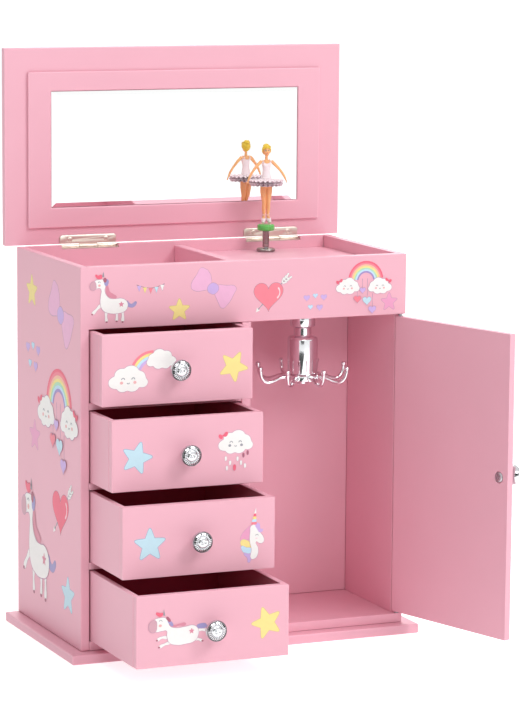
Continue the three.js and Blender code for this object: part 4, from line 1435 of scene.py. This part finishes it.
roomLook = {"floorGlow": 0.26, "floorShown": 0.4, "roomLight": 0.33, "key": 27, "fill": 15, "left": 0.5,
            "top": 27, "back": 20,
            "darkCorners": [((-0.38, -0.9, 0.12), 0.955), ((0.9, -0.25, 0.15), 0.96),
                            ((-0.97, 0.1, 0.2), 0.97),
                            ((0.1, -0.6, 0.75), 0.97)]}
clearPick()
bpy.ops.mesh.primitive_plane_add(size=60, location=(0, 0, 0))
floor = newest("floor")
floorPaint = Recipe("paleFloor")
grit = floorPaint.noise(3, 2)
paint(floor,
      floorPaint.finish(colour=floorPaint.blend(grit, (0.93, 0.93, 0.93, 1), (0.955, 0.955, 0.955, 1)),
                               rough=0.6 + 0.05 * grit))
floorPaint.shader.inputs["Emission Color"].default_value = (1, 1, 1, 1)
seenFloor = floorPaint.node("LightPath", out="Is Camera Ray") + floorPaint.node("LightPath",
                                                                                out="Is Glossy Ray")
floorPaint.feed(floorPaint.shader.inputs["Emission Strength"],
                roomLook["floorGlow"] + seenFloor * roomLook["floorShown"])

# dark cards beside the camera, seen only by the plated parts
cardPaint = Recipe("darkCard")
velvet = cardPaint.noise(40, 2)
cardPaint.finish(colour=cardPaint.blend(velvet, (0.012, 0.012, 0.012, 1), (0.03, 0.03, 0.03, 1)),
                 rough=0.9 + 0.05 * velvet)
for place, size in (((-0.85, -1.3, 0.002), (1.3, 1.8, 1)), ((-1.8, -0.3, 0.002), (0.5, 0.9, 1))):
    clearPick()
    bpy.ops.mesh.primitive_plane_add(size=1)
    card = newest("darkCard")
    card.scale = size
    card.location = place
    settle(card)
    paint(card, bpy.data.materials["darkCard"])
    card.visible_camera = card.visible_diffuse = card.visible_shadow = card.visible_transmission = False

# a white room seen plainly and in reflections, dimmer as a lamp, with dark corners for the metal to show
world = bpy.data.worlds.new("softRoom")
bpy.context.scene.world = world
world.use_nodes = True
room = Nodes(world.node_tree)
backdrop = room.tree.nodes["Background"]
glossy = room.node("LightPath", out="Is Glossy Ray")
plain = room.node("LightPath", out="Is Camera Ray")
towards = room.node("TexCoord", out="Generated")
darkness = 0.0
for corner, tight in roomLook["darkCorners"]:
    facing = room.node("VectorMath", {"operation": "DOT_PRODUCT"},
                       {0: towards, 1: Vector(corner).normalized()}, out="Value")
    darkness = darkness + room.node("MapRange", {"interpolation_type": "SMOOTHSTEP"},
                                    {"Value": facing, "From Min": tight, "From Max": tight + 0.03})
seen = plain + glossy * (1 - darkness * 0.93)
lamp = (1 - plain - glossy) * roomLook["roomLight"]
room.feed(backdrop.inputs["Strength"], seen + lamp)
backdrop.inputs["Color"].default_value = (1, 1, 1, 1)
light("keySoftbox", "AREA", (1.1, -1.7, 2.0), (0, 0, 0.2), roomLook["key"], (1.0, 1.0))
light("frontSoftbox", "AREA", (-0.5, -2.6, 1.7), (0, 0, 0.25), roomLook["fill"], (1.4, 1.0))
light("leftSoftbox", "AREA", (-2.4, -0.3, 0.9), (0, 0, 0.2), roomLook["left"], (1.6, 1.6))
light("topSoftbox", "AREA", (0.0, 0.3, 2.6), (0, 0, 0.1), roomLook["top"], (2.0, 2.0))
light("backSoftbox", "AREA", (0.8, 2.4, 1.6), (0, 0, 0.2), roomLook["back"], (1.6, 1.6))

cameraLook = {"lens": 156.1, "stand": (-0.8577, -2.0818, 0.5352), "yaw": 23.31, "pitch": 8.503,
              "roll": 0.427}
yaw, pitch, roll = (math.radians(cameraLook[k]) for k in ("yaw", "pitch", "roll"))
ahead = Vector((math.sin(yaw) * math.cos(pitch), math.cos(yaw) * math.cos(pitch), -math.sin(pitch)))
side = Vector((math.cos(yaw), -math.sin(yaw), 0))
up = side.cross(ahead)
across = side * math.cos(roll) + up * math.sin(roll)
above = up * math.cos(roll) - side * math.sin(roll)
lensOf = bpy.data.cameras.new("view")
lensOf.lens = cameraLook["lens"]
lensOf.sensor_width = 36
lensOf.clip_start, lensOf.clip_end = 0.05, 100
camera = bpy.data.objects.new("view", lensOf)
bpy.context.scene.collection.objects.link(camera)
camera.matrix_world = Matrix.Translation(cameraLook["stand"]) @ Matrix((across, above,
                                                                        -ahead)).transposed().to_4x4()
bpy.context.scene.camera = camera
bpy.context.scene.view_settings.view_transform = "Standard"

print("scene ready")
